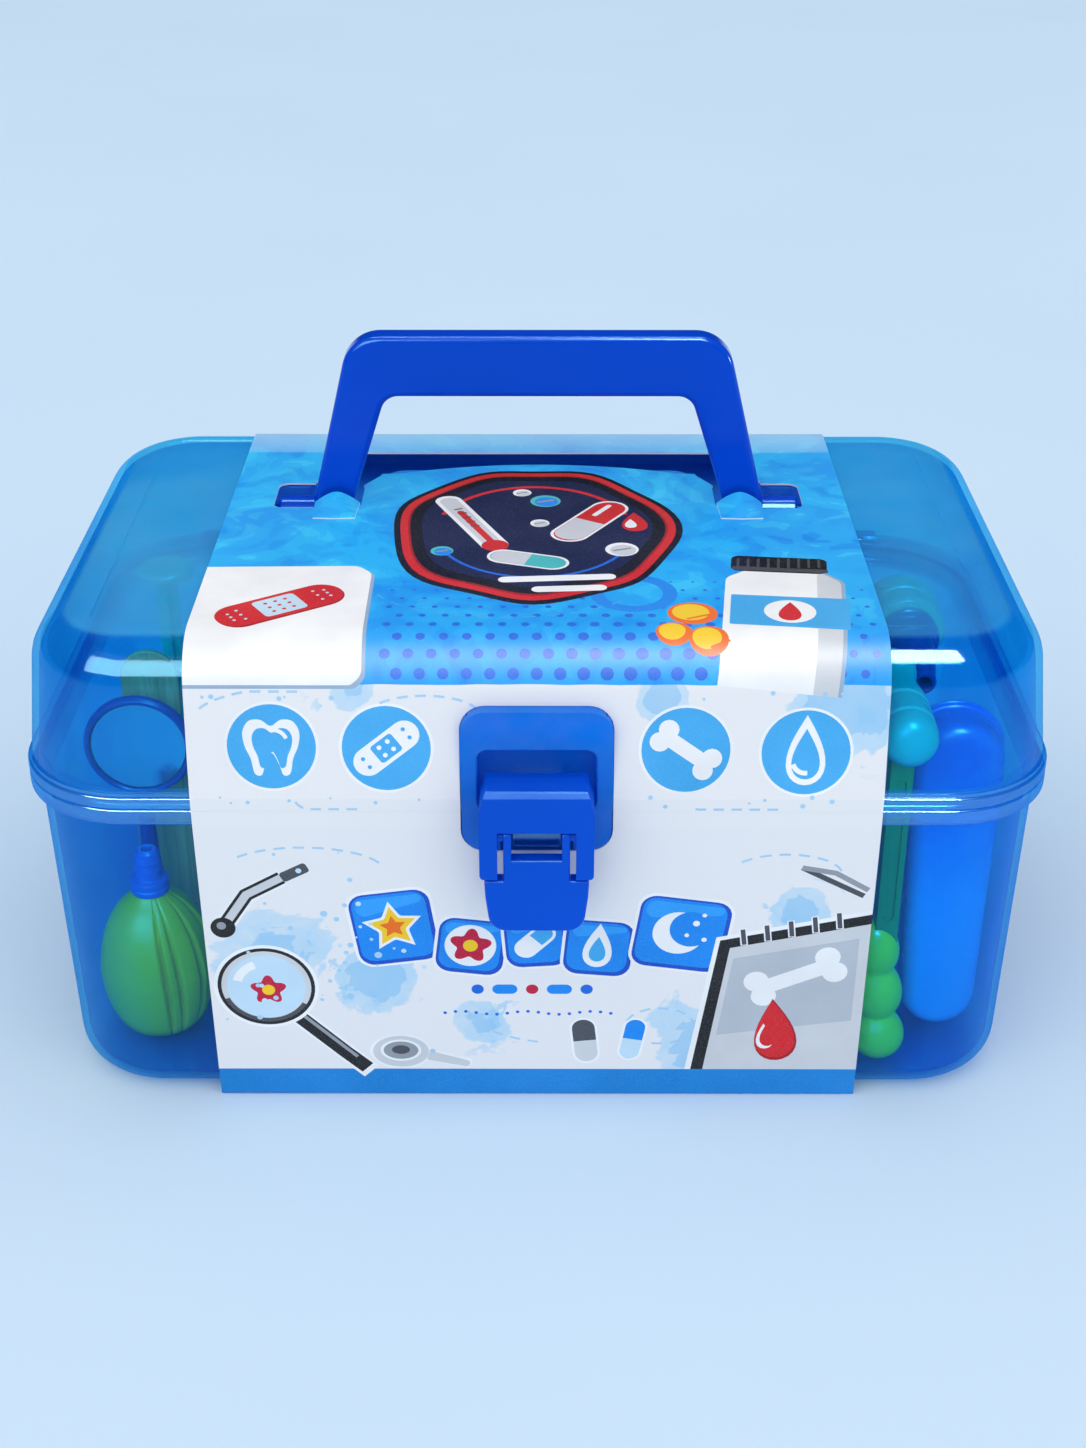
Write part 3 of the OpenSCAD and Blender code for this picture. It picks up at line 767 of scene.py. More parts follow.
# ------------------------------------------------------------------ printed card: colours
def card_white(name="card_white"):
    """coated white card with pale watercolour washes."""
    k = Nodes(name)
    n1 = k.noise(26.0, 5.0, 0.62, k.mapping((1, 0.35, 1), loc=(0.31, 0, 0.12)), 0.5)
    n2 = k.noise(95.0, 4.0, 0.6, k.mapping((1, 0.35, 1), loc=(0.7, 0, 0.4)), 0.8)
    w = None
    for cx, cz, r in ((-0.068, 0.050, 0.034), (-0.040, 0.040, 0.026), (0.074, 0.118, 0.024), (0.030, 0.121, 0.013), (-0.045, 0.122, 0.014), (0.042, 0.020, 0.026), (0.066, 0.060, 0.018), (-0.016, 0.027, 0.018)):
        d = k.new("ShaderNodeVectorMath", operation="DISTANCE")
        m = k.mapping((1, 0, 1))
        k.put(d.inputs[0], m)
        d.inputs[1].default_value = (cx, 0, cz)
        b = k.rangemap(d.outputs["Value"], 0.0, r, 1.0, 0.0, "SMOOTHSTEP")
        w = b if w is None else k.math("MAXIMUM", w, b)
    f = k.math("ADD", k.math("MULTIPLY", n1, 0.75), k.math("MULTIPLY", w, 0.42))
    wash = k.rangemap(f, 0.60, 0.625, 0.0, 1.0, "SMOOTHSTEP")
    deep = k.rangemap(f, 0.70, 0.71, 0.0, 1.0, "SMOOTHSTEP")
    spat = k.math("MULTIPLY", k.rangemap(n2, 0.64, 0.66, 0.0, 1.0), k.rangemap(w, 0.05, 0.5))
    c = k.mix(k.math("MULTIPLY", wash, k.rangemap(n2, 0.3, 0.7, 0.45, 0.95)), lin(238, 238, 241), lin(178, 218, 245))
    c = k.mix(k.math("MULTIPLY", deep, 0.55), c, lin(130, 196, 241))
    c = k.mix(k.math("MULTIPLY", spat, 0.6), c, lin(150, 206, 243))
    tooth = k.noise(2600.0, 2.0, 0.6)
    c = k.mix(k.math("MULTIPLY", k.rangemap(tooth, 0.4, 0.8), 0.06), c, lin(214, 218, 226))
    r = k.rangemap(n2, 0.3, 0.7, 0.44, 0.54)
    n = k.bump(tooth, 0.05, 0.0001, k.bump(k.noise(24.0, 2.0, 0.5), 0.05, 0.001))
    return k.finish(k.principled(c, r, n, Specular_IOR_Level=0.22))


def card_blue(name="card_sky"):
    """coated card printed with layered blue watercolour, with a painted highlight on the strip behind the handle
    channel.
    """
    k = Nodes(name)
    v = k.mapping((1, 1, 0.6), loc=(0.11, 0.23, 0))
    n1 = k.noise(30.0, 4.0, 0.55, v, 1.1)
    n2 = k.noise(58.0, 3.0, 0.5, v, 1.6)
    n3 = k.noise(17.0, 2.0, 0.5, v, 0.6)
    c = k.ramp(n1, [(0.0, lin(5, 141, 239)), (0.42, lin(9, 151, 243)), (0.43, lin(16, 169, 248)), (0.51, lin(19, 173, 250)), (0.52, lin(32, 192, 253)), (0.62, lin(30, 188, 252)), (0.635, lin(49, 207, 254)), (1.0, lin(54, 211, 255))])
    c2 = k.ramp(n2, [(0.0, lin(3, 132, 237)), (0.40, lin(6, 143, 241)), (0.415, lin(20, 171, 249)), (0.60, lin(23, 177, 251)), (0.61, lin(51, 205, 253)), (1.0, lin(47, 203, 253))])
    c = k.mix(k.rangemap(n3, 0.35, 0.65, 0.15, 0.6), c, c2)
    pos = k.xyz()
    # painted highlight: the strip behind the handle channel is painted lighter and whiter towards the back edge,
    # standing in for the sheen of light seen there
    band = k.rangemap(pos[1], 0.0507, 0.0512)
    rear_highlight_fade = k.rangemap(pos[1], 0.051, 0.0665, 0.30, 0.75)
    c = k.mix(k.math("MULTIPLY", band, rear_highlight_fade), c, lin(176, 216, 248))
    low = k.rangemap(pos[1], -0.02, -0.075, 0.0, 0.45)
    c = k.mix(low, c, lin(3, 147, 245))
    tooth = k.noise(2600.0, 2.0, 0.6)
    c = k.mix(k.math("MULTIPLY", k.rangemap(tooth, 0.4, 0.8), 0.05), c, lin(66, 219, 255))
    r = k.rangemap(n2, 0.3, 0.7, 0.42, 0.52)
    n = k.bump(tooth, 0.05, 0.0001, k.bump(k.noise(24.0, 2.0, 0.5), 0.05, 0.001))
    return k.finish(k.principled(c, r, n, Specular_IOR_Level=0.22))


INK = {}
for key, rgb in {
    "white": (244, 245, 248), "tile": (62, 172, 238), "sky": (38, 160, 248), "bright": (0, 138, 240), "mid": (0, 106, 226), "royal": (0, 78, 200),
    "navy": (16, 34, 84), "night": (14, 20, 44), "black": (24, 26, 32), "red": (218, 26, 38), "dark_red": (168, 14, 30), "crimson": (196, 8, 62),
    "orange": (244, 112, 16), "yellow": (250, 206, 28), "teal": (72, 192, 198), "pale": (196, 224, 244), "dash": (168, 210, 240), "stripe": (0, 132, 214),
    "grey": (150, 156, 166), "light_grey": (208, 212, 219), "dark_grey": (74, 78, 88), "film": (186, 194, 206), "dot": (0, 106, 226), "shadow": (150, 176, 206)}.items():
    INK[key] = ink("ink_" + key, lin(*rgb))
INK["card_white"] = card_white()
INK["card_sky"] = card_blue()
INK["cut_edge"] = ink("card_cut_edge", lin(232, 236, 240), rough=0.8, mottle=0.03)
INK["card_back"] = ink("card_back", lin(214, 214, 210), rough=0.75, mottle=0.04)


# ------------------------------------------------------------------ printed card: motifs as outlines
def tf(pts, x=0.0, y=0.0, s=1.0, rot=0.0, sx=1.0):
    c, q = cos(rad(rot)), sin(rad(rot))
    return [(x + s * (p[0] * sx * c - p[1] * q), y + s * (p[0] * sx * q + p[1] * c)) for p in pts]


def stadium(w, h, n=8):
    r = min(w, h) / 2 * 0.999
    return rr(w / 2, h / 2, r, n)


def rrect(w, h, r, n=5):
    return rr(w / 2, h / 2, r, n)


def petals(s, n=60, k=5):
    """outline of a simple flower."""
    return ccw([(s * 0.5 * (0.82 + 0.18 * cos(k * t)) * sin(t), s * 0.5 * (0.82 + 0.18 * cos(k * t)) * cos(t)) for t in [2 * math.pi * i / n for i in range(n)]])


def star(s, k=5, inner=0.5):
    return ccw([(s * 0.5 * (1.0 if i % 2 == 0 else inner) * sin(math.pi * i / k), s * 0.5 * (1.0 if i % 2 == 0 else inner) * cos(math.pi * i / k)) for i in range(2 * k)])


def drop(s, n=28):
    out = []
    for i in range(n):
        t = 2 * math.pi * i / n
        out.append((s * 0.36 * sin(t) * math.sin(t / 2) ** 1.2, s * 0.5 * cos(t)))
    return ccw(out)


def tooth(s):
    p = [(0, 0.34), (0.16, 0.44), (0.34, 0.42), (0.44, 0.25), (0.42, 0.02), (0.33, -0.2), (0.28, -0.44), (0.17, -0.47), (0.11, -0.3), (0.0, -0.1),
         (-0.11, -0.3), (-0.17, -0.47), (-0.28, -0.44), (-0.33, -0.2), (-0.42, 0.02), (-0.44, 0.25), (-0.34, 0.42), (-0.16, 0.44)]
    return [(s * x, s * y) for x, y in smooth_closed(p, 4)]


def smooth_closed(p, n=4):
    out = []
    m = len(p)
    for i in range(m):
        p0, p1, p2, p3 = p[i - 1], p[i], p[(i + 1) % m], p[(i + 2) % m]
        for j in range(n):
            t = j / n
            out.append(tuple(0.5 * ((2 * p1[a]) + (-p0[a] + p2[a]) * t + (2 * p0[a] - 5 * p1[a] + 4 * p2[a] - p3[a]) * t * t + (-p0[a] + 3 * p1[a] - 3 * p2[a] + p3[a]) * t ** 3) for a in (0, 1)))
    return out


def stroke(line, w, taper=False):
    """a polyline drawn with width w, as a closed outline."""
    left, right = [], []
    m = len(line)
    for i in range(m):
        p = Vector(line[i])
        d1 = (p - Vector(line[i - 1])).normalized() if i > 0 else None
        d2 = (Vector(line[i + 1]) - p).normalized() if i < m - 1 else None
        d1 = d1 or d2
        d2 = d2 or d1
        n = Vector((-(d1.y + d2.y), d1.x + d2.x))
        n = n.normalized()
        k = 1 / max(0.45, n.dot(Vector((-d1.y, d1.x))))
        h = w / 2 * k
        left.append((p.x + n.x * h, p.y + n.y * h))
        right.append((p.x - n.x * h, p.y - n.y * h))
    return left + right[::-1]


def arc_pts(cx, cy, r, a0, a1, n=12, ry=None):
    ry = ry or r
    return [(cx + r * cos(rad(a0 + (a1 - a0) * i / n)), cy + ry * sin(rad(a0 + (a1 - a0) * i / n))) for i in range(n + 1)]


def dashes(line, w, on=3.0, off=2.2):
    """short dashes along a polyline."""
    out, cur, acc, drawing = [], [line[0]], 0.0, True
    for i in range(1, len(line)):
        a, b = Vector(line[i - 1]), Vector(line[i])
        L = (b - a).length
        pos = 0.0
        while pos < L - 1e-6:
            need = (on if drawing else off) - acc
            step = min(need, L - pos)
            pos += step
            acc += step
            q = a + (b - a) * (pos / L)
            if drawing:
                cur.append((q.x, q.y))
            if acc >= (on if drawing else off) - 1e-6:
                if drawing and len(cur) > 1:
                    out.append(stroke(cur, w))
                drawing = not drawing
                acc = 0.0
                cur = [(q.x, q.y)]
    return out


# ------------------------------------------------------------------ printed card: the folded sheets
CARD, SLW = 0.5, 84.6


def seg_list(points):
    """points: (y, z, ny, nz) in order; returns segments with running length."""
    segs, v = [], 0.0
    for a, b in zip(points[:-1], points[1:]):
        L = math.hypot(b[0] - a[0], b[1] - a[1])
        if L < 1e-9:
            continue
        n0, n1 = a[4] if len(a) > 4 else (a[2], a[3]), (b[2], b[3])
        segs.append((v, v + L, a[:2], b[:2], n0, n1))
        v += L
    return segs


def unit(y, z):
    L = math.hypot(y, z)
    return y / L, z / L


def upper_segments():
    R = EDGE_R + 0.1 + CARD
    ey = HY - EC
    ta = math.atan2(95.0 - EDGE_Z, HY + 0.1 - ey) + math.acos((EDGE_R + 0.1) / math.hypot(HY + 0.1 - ey, 95.0 - EDGE_Z))
    pts = []
    y0 = -(HY + 0.1 + CARD)
    a0 = (-(ey + R * cos(ta)), EDGE_Z + R * sin(ta))
    n1 = unit(-(a0[1] - 95.0), a0[0] - y0)
    pts.append((y0, 91.515, -1.0, 0.0))
    pts.append((y0, 95.0, -1.0, 0.0, n1))
    m = 12
    for i in range(m + 1):
        a = ta + (math.pi / 2 - ta) * i / m
        n = (-cos(a), sin(a))
        p = (-(ey + R * cos(a)), EDGE_Z + R * sin(a), n[0], n[1])
        pts.append(p)
    back = [(-p[0], p[1], -p[2], p[3]) + (((-p[4][0], p[4][1]),) if len(p) > 4 else ()) for p in pts][::-1]
    # the bend at the rim needs its own normals on both sides of it
    back = [q[:4] for q in back]
    k = len(back) - 2
    segs = seg_list(pts + back)
    # put the flat normal on the last straight stretch at the back
    v0, v1, p0, p1, _, _ = segs[-1]
    segs[-1] = (v0, v1, p0, p1, (1.0, 0.0), (1.0, 0.0))
    v0, v1, p0, p1, q0, _ = segs[-2]
    segs[-2] = (v0, v1, p0, p1, q0, q0)
    return segs


def lower_segments():
    y0 = -(HY + 0.1 + CARD)
    a, b = (y0, 86.6), (-76.4, 0.0)
    d = unit(b[0] - a[0], b[1] - a[1])
    n = (d[1], -d[0])            # outward, to the front and a little down
    n = n if n[0] < 0 else (-n[0], -n[1])
    r = 1.1
    w = math.atan2(d[1], d[0])
    # arc between the wall and the floor
    ang0 = math.atan2(n[1], n[0])
    turn = (-math.pi / 2 - ang0) % (2 * math.pi)
    if turn > math.pi:
        turn -= 2 * math.pi
    t = r * math.tan(abs(turn) / 2)
    s = (b[0] - d[0] * t, b[1] - d[1] * t)
    c = (s[0] - n[0] * r, s[1] - n[1] * r)
    pts = [(y0, 91.485, -1.0, 0.0), (y0, 86.6, -1.0, 0.0, n)]
    for i in range(6):
        q = ang0 + turn * i / 5
        pts.append((c[0] + r * cos(q), max(0.0, c[1] + r * sin(q)), cos(q), sin(q)))
    back = [(-p[0], p[1], -p[2], p[3]) for p in pts][::-1]
    segs = seg_list(pts + back)
    v0, v1, p0, p1, _, _ = segs[-1]
    segs[-1] = (v0, v1, p0, p1, (1.0, 0.0), (1.0, 0.0))
    v0, v1, p0, p1, q0, _ = segs[-2]
    segs[-2] = (v0, v1, p0, p1, q0, q0)
    return segs


def sheet_at(segs, v, mid=None):
    m = v if mid is None else mid
    for s in segs:
        if s[0] - 1e-6 <= m <= s[1] + 1e-6:
            break
    t = (v - s[0]) / (s[1] - s[0])
    n = unit(s[4][0] + (s[5][0] - s[4][0]) * t, s[4][1] + (s[5][1] - s[4][1]) * t)
    return (s[2][0] + (s[3][0] - s[2][0]) * t, s[2][1] + (s[3][1] - s[2][1]) * t, n[0], n[1])


def v_front(segs, z):
    """running length of height z on the front wall."""
    for s in segs:
        za, zb = s[2][1], s[3][1]
        if min(za, zb) - 1e-6 <= z <= max(za, zb) + 1e-6 and s[2][0] < 0:
            return s[0] + (s[1] - s[0]) * ((z - za) / (zb - za) if abs(zb - za) > 1e-9 else 0)
    raise ValueError(z)


def build_sheet(name, segs, shapes, holes, lift, cols=14):
    """cuts, prints and folds one sheet. shapes: (outline in (x, v), ink key), later ones on top."""
    L = segs[-1][1]
    verts, faces, edges, keys = [], [], [], []

    def add_face(pts, key):
        pts = ccw([tuple(p) for p in pts])
        clean = []
        for p in pts:
            if not clean or math.hypot(p[0] - clean[-1][0], p[1] - clean[-1][1]) > 0.02:
                clean.append(p)
        if math.hypot(clean[0][0] - clean[-1][0], clean[0][1] - clean[-1][1]) < 0.02:
            clean.pop()
        if len(clean) < 3 or abs(sum(clean[i - 1][0] * clean[i][1] - clean[i][0] * clean[i - 1][1] for i in range(len(clean)))) < 0.1:
            return
        i0 = len(verts)
        verts.extend(Vector(p) for p in clean)
        faces.append(list(range(i0, i0 + len(clean))))
        keys.append(key)

    add_face([(-SLW, 0), (SLW, 0), (SLW, L), (-SLW, L)], None)
    for pts, key in shapes:
        pts = [(max(-SLW, min(SLW, x)), max(0.0, min(L, v))) for x, v in pts]
        add_face(pts, key)
    for pts in holes:
        add_face([(x, max(-1.0, min(L + 1.0, v))) for x, v in pts], "hole")
    cuts = sorted(set([round(s[1], 6) for s in segs[:-1]]))
    extra = []
    last = 0.0
    for c in cuts + [L]:
        k = int((c - last) // 13)
        extra += [last + (c - last) * (i + 1) / (k + 1) for i in range(k)]
        last = c
    for v in cuts + extra:
        i0 = len(verts)
        verts.extend((Vector((-SLW, v)), Vector((SLW, v))))
        edges.append((i0, i0 + 1))
    for i in range(1, cols):
        x = -SLW + 2 * SLW * i / cols
        i0 = len(verts)
        verts.extend((Vector((x, 0)), Vector((x, L))))
        edges.append((i0, i0 + 1))
    vo, eo, fo, ov, oe, of = delaunay_2d_cdt(verts, edges, faces, 0, 1e-4)
    mats = sorted({k for k in keys if k not in (None, "hole")} | {"cut_edge", "card_back"})
    idx = {k: i for i, k in enumerate(mats)}
    keep, mid = [], []
    for f, src in zip(fo, of):
        if 0 not in src:
            continue
        if any(keys[s] == "hole" for s in src):
            continue
        top = max(src)
        if keys[top] is None:
            continue
        keep.append(f)
        mid.append(idx[keys[top]])
    used = sorted({i for f in keep for i in f})
    remap = {j: i for i, j in enumerate(used)}
    p2 = [vo[j] for j in used]
    n = len(p2)
    front, back = [], []
    for p in p2:
        y, z, ny, nz = sheet_at(segs, min(max(p.y, 0.0), L))
        h = lift(p.x, p.y, y, z)
        front.append((p.x, y + ny * h, z + nz * h))
        back.append((p.x, y + ny * (h - CARD), z + nz * (h - CARD)))
    allf, allm, normals = [], [], []
    count = {}
    for f, m in zip(keep, mid):
        g = [remap[i] for i in f]
        a, b, c = (p2[i] for i in g[:3])
        if (b - a).cross(c - a) < 0:
            g = g[::-1]
        # the sheet's outside faces away from the case: x to the right, length upward gives an inward turn, so the order is kept
        allf.append(tuple(g))
        allm.append(m)
        cv = sum(p2[i].y for i in g) / len(g)
        for i in g:
            _, _, ny, nz = sheet_at(segs, min(max(p2[i].y, 0.0), L), cv)
            normals.append((0.0, ny, nz))
        for i in range(len(g)):
            e = (g[i], g[(i + 1) % len(g)])
            count[tuple(sorted(e))] = count.get(tuple(sorted(e)), 0) + 1
    front_faces = list(allf)
    for g in front_faces:
        allf.append(tuple(n + i for i in reversed(g)))
        allm.append(idx["card_back"])
        cv = sum(p2[i].y for i in g) / len(g)
        for i in reversed(g):
            _, _, ny, nz = sheet_at(segs, min(max(p2[i].y, 0.0), L), cv)
            normals.append((0.0, -ny, -nz))
    for g in front_faces:
        for i in range(len(g)):
            a, b = g[i], g[(i + 1) % len(g)]
            if count[tuple(sorted((a, b)))] == 1:
                allf.append((b, a, n + a, n + b))
                allm.append(idx["cut_edge"])
                pa, pb, pc = Vector(front[a]), Vector(front[b]), Vector(back[a])
                nn = (pa - pb).cross(pc - pb)
                nn = nn.normalized() if nn.length > 1e-12 else Vector((0, 0, 1))
                normals += [tuple(nn)] * 4
    ob = mesh_obj(name, front + back, allf, [INK[k] for k in mats], allm)
    # if the winding came out inside out, turn it, and the loop normals with it
    f0 = ob.data.polygons[0]
    want = normals[0]
    if f0.normal.dot(Vector(want)) < 0:
        flipped = []
        off = 0
        for f in allf:
            flipped += normals[off:off + len(f)][::-1]
            off += len(f)
        me = bpy.data.meshes.new(name)
        me.from_pydata([tuple(c * 0.001 for c in p) for p in front + back], [], [tuple(reversed(f)) for f in allf])
        me.update()
        for k in mats:
            me.materials.append(INK[k])
        me.polygons.foreach_set("material_index", allm)
        me.polygons.foreach_set("use_smooth", [True] * len(me.polygons))
        old = ob.data
        ob.data = me
        bpy.data.meshes.remove(old)
        normals = flipped
        off = 0
        for pi, p in enumerate(me.polygons):
            if allm[pi] == idx["cut_edge"]:
                for j in range(len(p.vertices)):
                    normals[off + j] = tuple(p.normal)
            off += len(p.vertices)
    else:
        off = 0
        for pi, p in enumerate(ob.data.polygons):
            if allm[pi] == idx["cut_edge"]:
                for j in range(len(p.vertices)):
                    normals[off + j] = tuple(p.normal)
            off += len(p.vertices)
    ob.data.normals_split_custom_set(normals)
    return ob


# ------------------------------------------------------------------ printed card: the design
US, LS = upper_segments(), lower_segments()
EYC = HY - EC
V_TOP0 = next(s[0] for s in US if abs(s[2][1] - s[3][1]) < 1e-6 and abs(s[2][1] - (TOP_Z + 0.6)) < 0.01)
V_FOLD = v_front(US, 124.2)


def on_top(pts):
    return [(x, V_TOP0 + y + EYC) for x, y in pts]


def on_up(pts):
    lo = US[0][0]
    return [(x, v_front(US, max(91.516, min(131.0, z)))) for x, z in pts]


def on_low(pts):
    return [(x, v_front(LS, max(1.2, min(91.48, z)))) for x, z in pts]


def art_upper():
    rnd = random.Random(5)
    S = []
    L = US[-1][1]
    S.append(([(-90, -1), (90, -1), (90, L + 1), (-90, L + 1)], "card_white"))
    # blue field over the top, with an uneven painted edge at the folds
    low = [(x, V_FOLD + 0.25 * noise.noise(Vector((x * 0.13, 1.7, 0))) + 0.5 * max(0, noise.noise(Vector((x * 0.05, 4.0, 0))))) for x in np.linspace(-86, 86, 87)]
    high = [(x, L - V_FOLD + 0.9 * noise.noise(Vector((x * 0.11, 8.7, 0)))) for x in np.linspace(86, -86, 87)]
    S.append((low + high, "card_sky"))
    # halftone dots, growing towards the front
    row = 0
    y = -78.5
    while y < -26:
        for i in range(-14, 18):
            x = i * 5.6 + (2.8 if row % 2 else 0)
            g = (-28 - y) / 52.0
            side = 1.0 if x > -38 else 0.0
            r = 1.62 * (g ** 0.8) * side * (1.0 if x < 62 or y < -40 else 0.7)
            r *= 0.85 + 0.3 * noise.noise(Vector((x * 0.02, y * 0.02, 3)))
            if x > 64:
                r *= 0.9
            elif x > 46:
                r *= 0.35
            if r > 0.35 and -80 < x < 84.6 - r - 0.2:
                S.append((on_top(circle(x, y, r, 10)), "dot"))
        y += 4.9
        row += 1
    # big pale rings and a splash, behind the motifs
    S.append((on_top(circle(24, -46, 11, 30)), "bright"))
    S.append((on_top(circle(24, -46, 7.4, 30)), "card_sky"))
    for d in dashes(arc_pts(-8, -40, 34, 200, 330, 30, 20), 0.55, 3.2, 2.6):
        S.append((on_top(d), "tile"))
    # round badge with a dark field, a red ring and simple medical shapes
    def B(pts, key, x=0, y=0, s=1.0, rot=0.0):
        S.append((on_top([(bx - 1.0, by - 7.0) for bx, by in tf(pts, x, y, s, rot)]), key))
    rag = [(38.5 * cos(t) * (1 + 0.035 * sin(5 * t + 1)), 44.5 * sin(t) * (1 + 0.03 * sin(7 * t))) for t in [2 * math.pi * i / 72 for i in range(72)]]
    B(rag, "night")
    B([(x * 0.955, y * 0.955 + 0.4) for x, y in rag], "red")
    B([(x * 0.90, y * 0.90 + 0.6) for x, y in rag], "dark_red")
    B([(x * 0.885, y * 0.88 + 0.8) for x, y in rag], "night")
    B([(x * 0.80, y * 0.80 + 1.2) for x, y in rag], "navy")
    B(arc_pts(0, 1, 27, 20, 160, 24, 31) + arc_pts(0, 1, 25.6, 160, 20, 24, 29.5), "red")
    B(arc_pts(0, 1, 27, 205, 335, 24, 31) + arc_pts(0, 1, 26, 335, 205, 24, 30), "mid")
    # thermometer
    B(stadium(7.4, 40), "white", -17, 6, 1, 24)
    B(stadium(5.0, 37), "light_grey", -17, 6, 1, 24)
    B(stadium(2.0, 24), "red", -15.6, 3.0, 1, 24)
    B(circle(0, 0, 3.6, 20), "red", -10.2, -9.4)
    for i in range(5):
        B(rrect(2.6, 0.7, 0.3, 2), "dark_grey", -20.8 + 1.5 * i * 0.0 - i * -1.25, 15.2 - i * 2.9, 1, 24)
    # two-part capsules
    B(stadium(10.5, 31), "white", 15, 7, 1.0, -32)
    B([(x * 0.86, y * 0.95) for x, y in stadium(10.5, 31)], "red", 15, 7, 1.0, -32)
    half = [(-4.4, -14.0), (4.4, -14.0), (4.4, 0), (-4.4, 0)]
    B(round_poly(half, [4.3, 4.3, 0, 0], 6), "light_grey", 15, 7, 1.0, -32)
    B(stadium(1.5, 9), "white", 18.4, 14.4, 1.0, -32)
    B(stadium(8.6, 22), "white", -1.5, -18.5, 1.0, 72)
    B([(x * 0.84, y * 0.93) for x, y in stadium(8.6, 22)], "teal", -1.5, -18.5, 1.0, 72)
    B(round_poly([(-3.5, 0), (3.5, 0), (3.5, 10.0), (-3.5, 10.0)], [0, 0, 3.4, 3.4], 5), "light_grey", -1.5, -18.5, 1.0, 72)
    # tablets and a small drop
    for x, y, r, key in ((3, 21, 4.2, "teal"), (-3.5, 27, 2.6, "white"), (23, -12, 4.4, "white"), (-24, -13, 3.0, "teal"), (1.5, 5.5, 2.6, "white")):
        B(circle(x, y, r, 20), key)
        B(circle(x + 0.3, y - 0.5, r * 0.78, 20), "light_grey" if key == "white" else "bright")
        B(stadium(r * 1.2, r * 0.22), "grey", x, y, 1, 20)
    B(drop(13), "red", 27, 6.5)
    B(drop(6), "white", 25.9, 5.3)
    # small white bars
    B(stadium(30, 3.4), "white", 6, -30, 1, 4)
    B(stadium(19, 3.4), "white", 9, -36.2, 1, 4)
    # white rounded panel with a red plaster
    pan = round_poly([(-90, -81.3), (-44.5, -81.3), (-41.8, -79), (-42.2, -34), (-46, -29.6), (-90, -30.5)], [0, 2, 4, 5, 4, 0], 6)
    S.append((on_top([(x + 0.9, y - 0.9) for x, y in pan]), "shadow"))
    S.append((on_top(pan), "white"))
    def P(pts, key, x=0, y=0, s=1.0, rot=0.0):
        S.append((on_top([(bx - 63.5, by - 53.0) for bx, by in tf(pts, x, y, s, rot)]), key))
    P(stadium(34, 12.4), "dark_red", 0.3, -0.5, 1, 33)
    P(stadium(34, 12), "red", 0, 0, 1, 33)
    P(rrect(11.5, 9.4, 1.2), "pale", 0, 0, 1, 33)
    for i in range(-1, 2):
        for j in range(-1, 2):
            P(circle(0, 0, 0.55, 8), "red", *tf([(i * 2.7, j * 2.5)], 0, 0, 1, 33)[0])
    for e in (-1, 1):
        for j in range(-1, 2):
            P(circle(0, 0, 0.45, 8), "pale", *tf([(e * 10.5, j * 2.7)], 0, 0, 1, 33)[0])
            P(circle(0, 0, 0.45, 8), "pale", *tf([(e * 13.2, j * 1.9)], 0, 0, 1, 33)[0])
    # jar with tablets, in white, black and orange
    def J(pts, key, x=0, y=0, s=1.0, rot=0.0):
        S.append((on_top([(bx + 62.0, by - 40.0) for bx, by in tf(pts, x, y, s, rot - 6)]), key))
    J(round_poly([(-14.5, -43), (14.5, -43), (14.5, 2), (9.5, 7), (-9.5, 7), (-14.5, 2)], [0, 0, 5, 3, 3, 5], 6), "shadow", 1.0, 0)
    J(round_poly([(-14.5, -43), (14.5, -43), (14.5, 2), (9.5, 7), (-9.5, 7), (-14.5, 2)], [0, 0, 5, 3, 3, 5], 6), "white")
    J(round_poly([(8.5, -43), (14.5, -43), (14.5, 2), (10.0, 6.5), (8.5, 6)], [0, 0, 5, 1, 1], 5), "light_grey")
    J(rrect(24.5, 9.5, 2.2), "black", 0, 11.2)
    J(rrect(24.5, 2.2, 0.8), "dark_grey", 0, 8.2)
    for i in range(-4, 5):
        J(stadium(0.7, 6.0), "dark_grey", i * 2.6, 12.2)
    J(rrect(29.2, 17, 0.6), "tile", 0, -16.5)
    J(circle(0, 0, 6.4, 28), "white", 0, -16.5)
    J(drop(10.5), "red", 0, -16.4)
    for x, y, r in ((-22, -20, 6.2), (-26, -30, 4.4), (-17.5, -31.5, 4.8)):
        J(circle(x, y, r, 24), "orange")
        J(circle(x - 0.5, y + 0.6, r * 0.74, 24), "yellow")
        J(stadium(r * 1.1, 0.8), "orange", x - 0.5, y + 0.6, 1, 30)
    # front: icon tiles, two on each side of the latch
    def tile(cx, cz, s, icon):
        def Q(pts, key, x=0, y=0, k=1.0, rot=0.0):
            S.append((on_up([(bx + cx, bz + cz) for bx, bz in tf(pts, x, y, k, rot)]), key))
        Q(circle(0, 0, s / 2 + 0.7, 44), "white")
        Q(circle(0, 0, s / 2, 44), "tile")
        if icon == "tooth":
            Q(tooth(15.5), "white", 0, 0)
            Q(tooth(11.0), "tile", 0.2, -0.2)
            Q(stroke(arc_pts(0.6, 1.0, 3.2, 20, 95, 6), 1.0), "white")
        elif icon == "drop":
            Q(drop(18), "white", 0, 0.6)
            Q(drop(13), "tile", 0, -0.4)
            Q(stroke(arc_pts(0, -2.2, 3.1, 195, 280, 6), 1.2), "white")
        elif icon == "plaster":
            Q(stadium(18.5, 7.2), "white", 0, 0, 1, 38)
            Q(rrect(6.4, 5.2, 0.8), "tile", 0, 0, 1, 38)
            for i in (-1, 1):
                for j in (-1, 1):
                    Q(circle(0, 0, 0.62, 8), "white", *tf([(i * 1.3, j * 1.2)], 0, 0, 1, 38)[0])
                    Q(circle(0, 0, 0.55, 8), "tile", *tf([(i * 6.2, j * 1.3)], 0, 0, 1, 38)[0])
        elif icon == "bone":
            for e in (-1, 1):
                for j in (-1, 1):
                    Q(circle(0, 0, 2.5, 16), "white", *tf([(e * 6.4, j * 1.9)], 0, 0, 1, -35)[0])
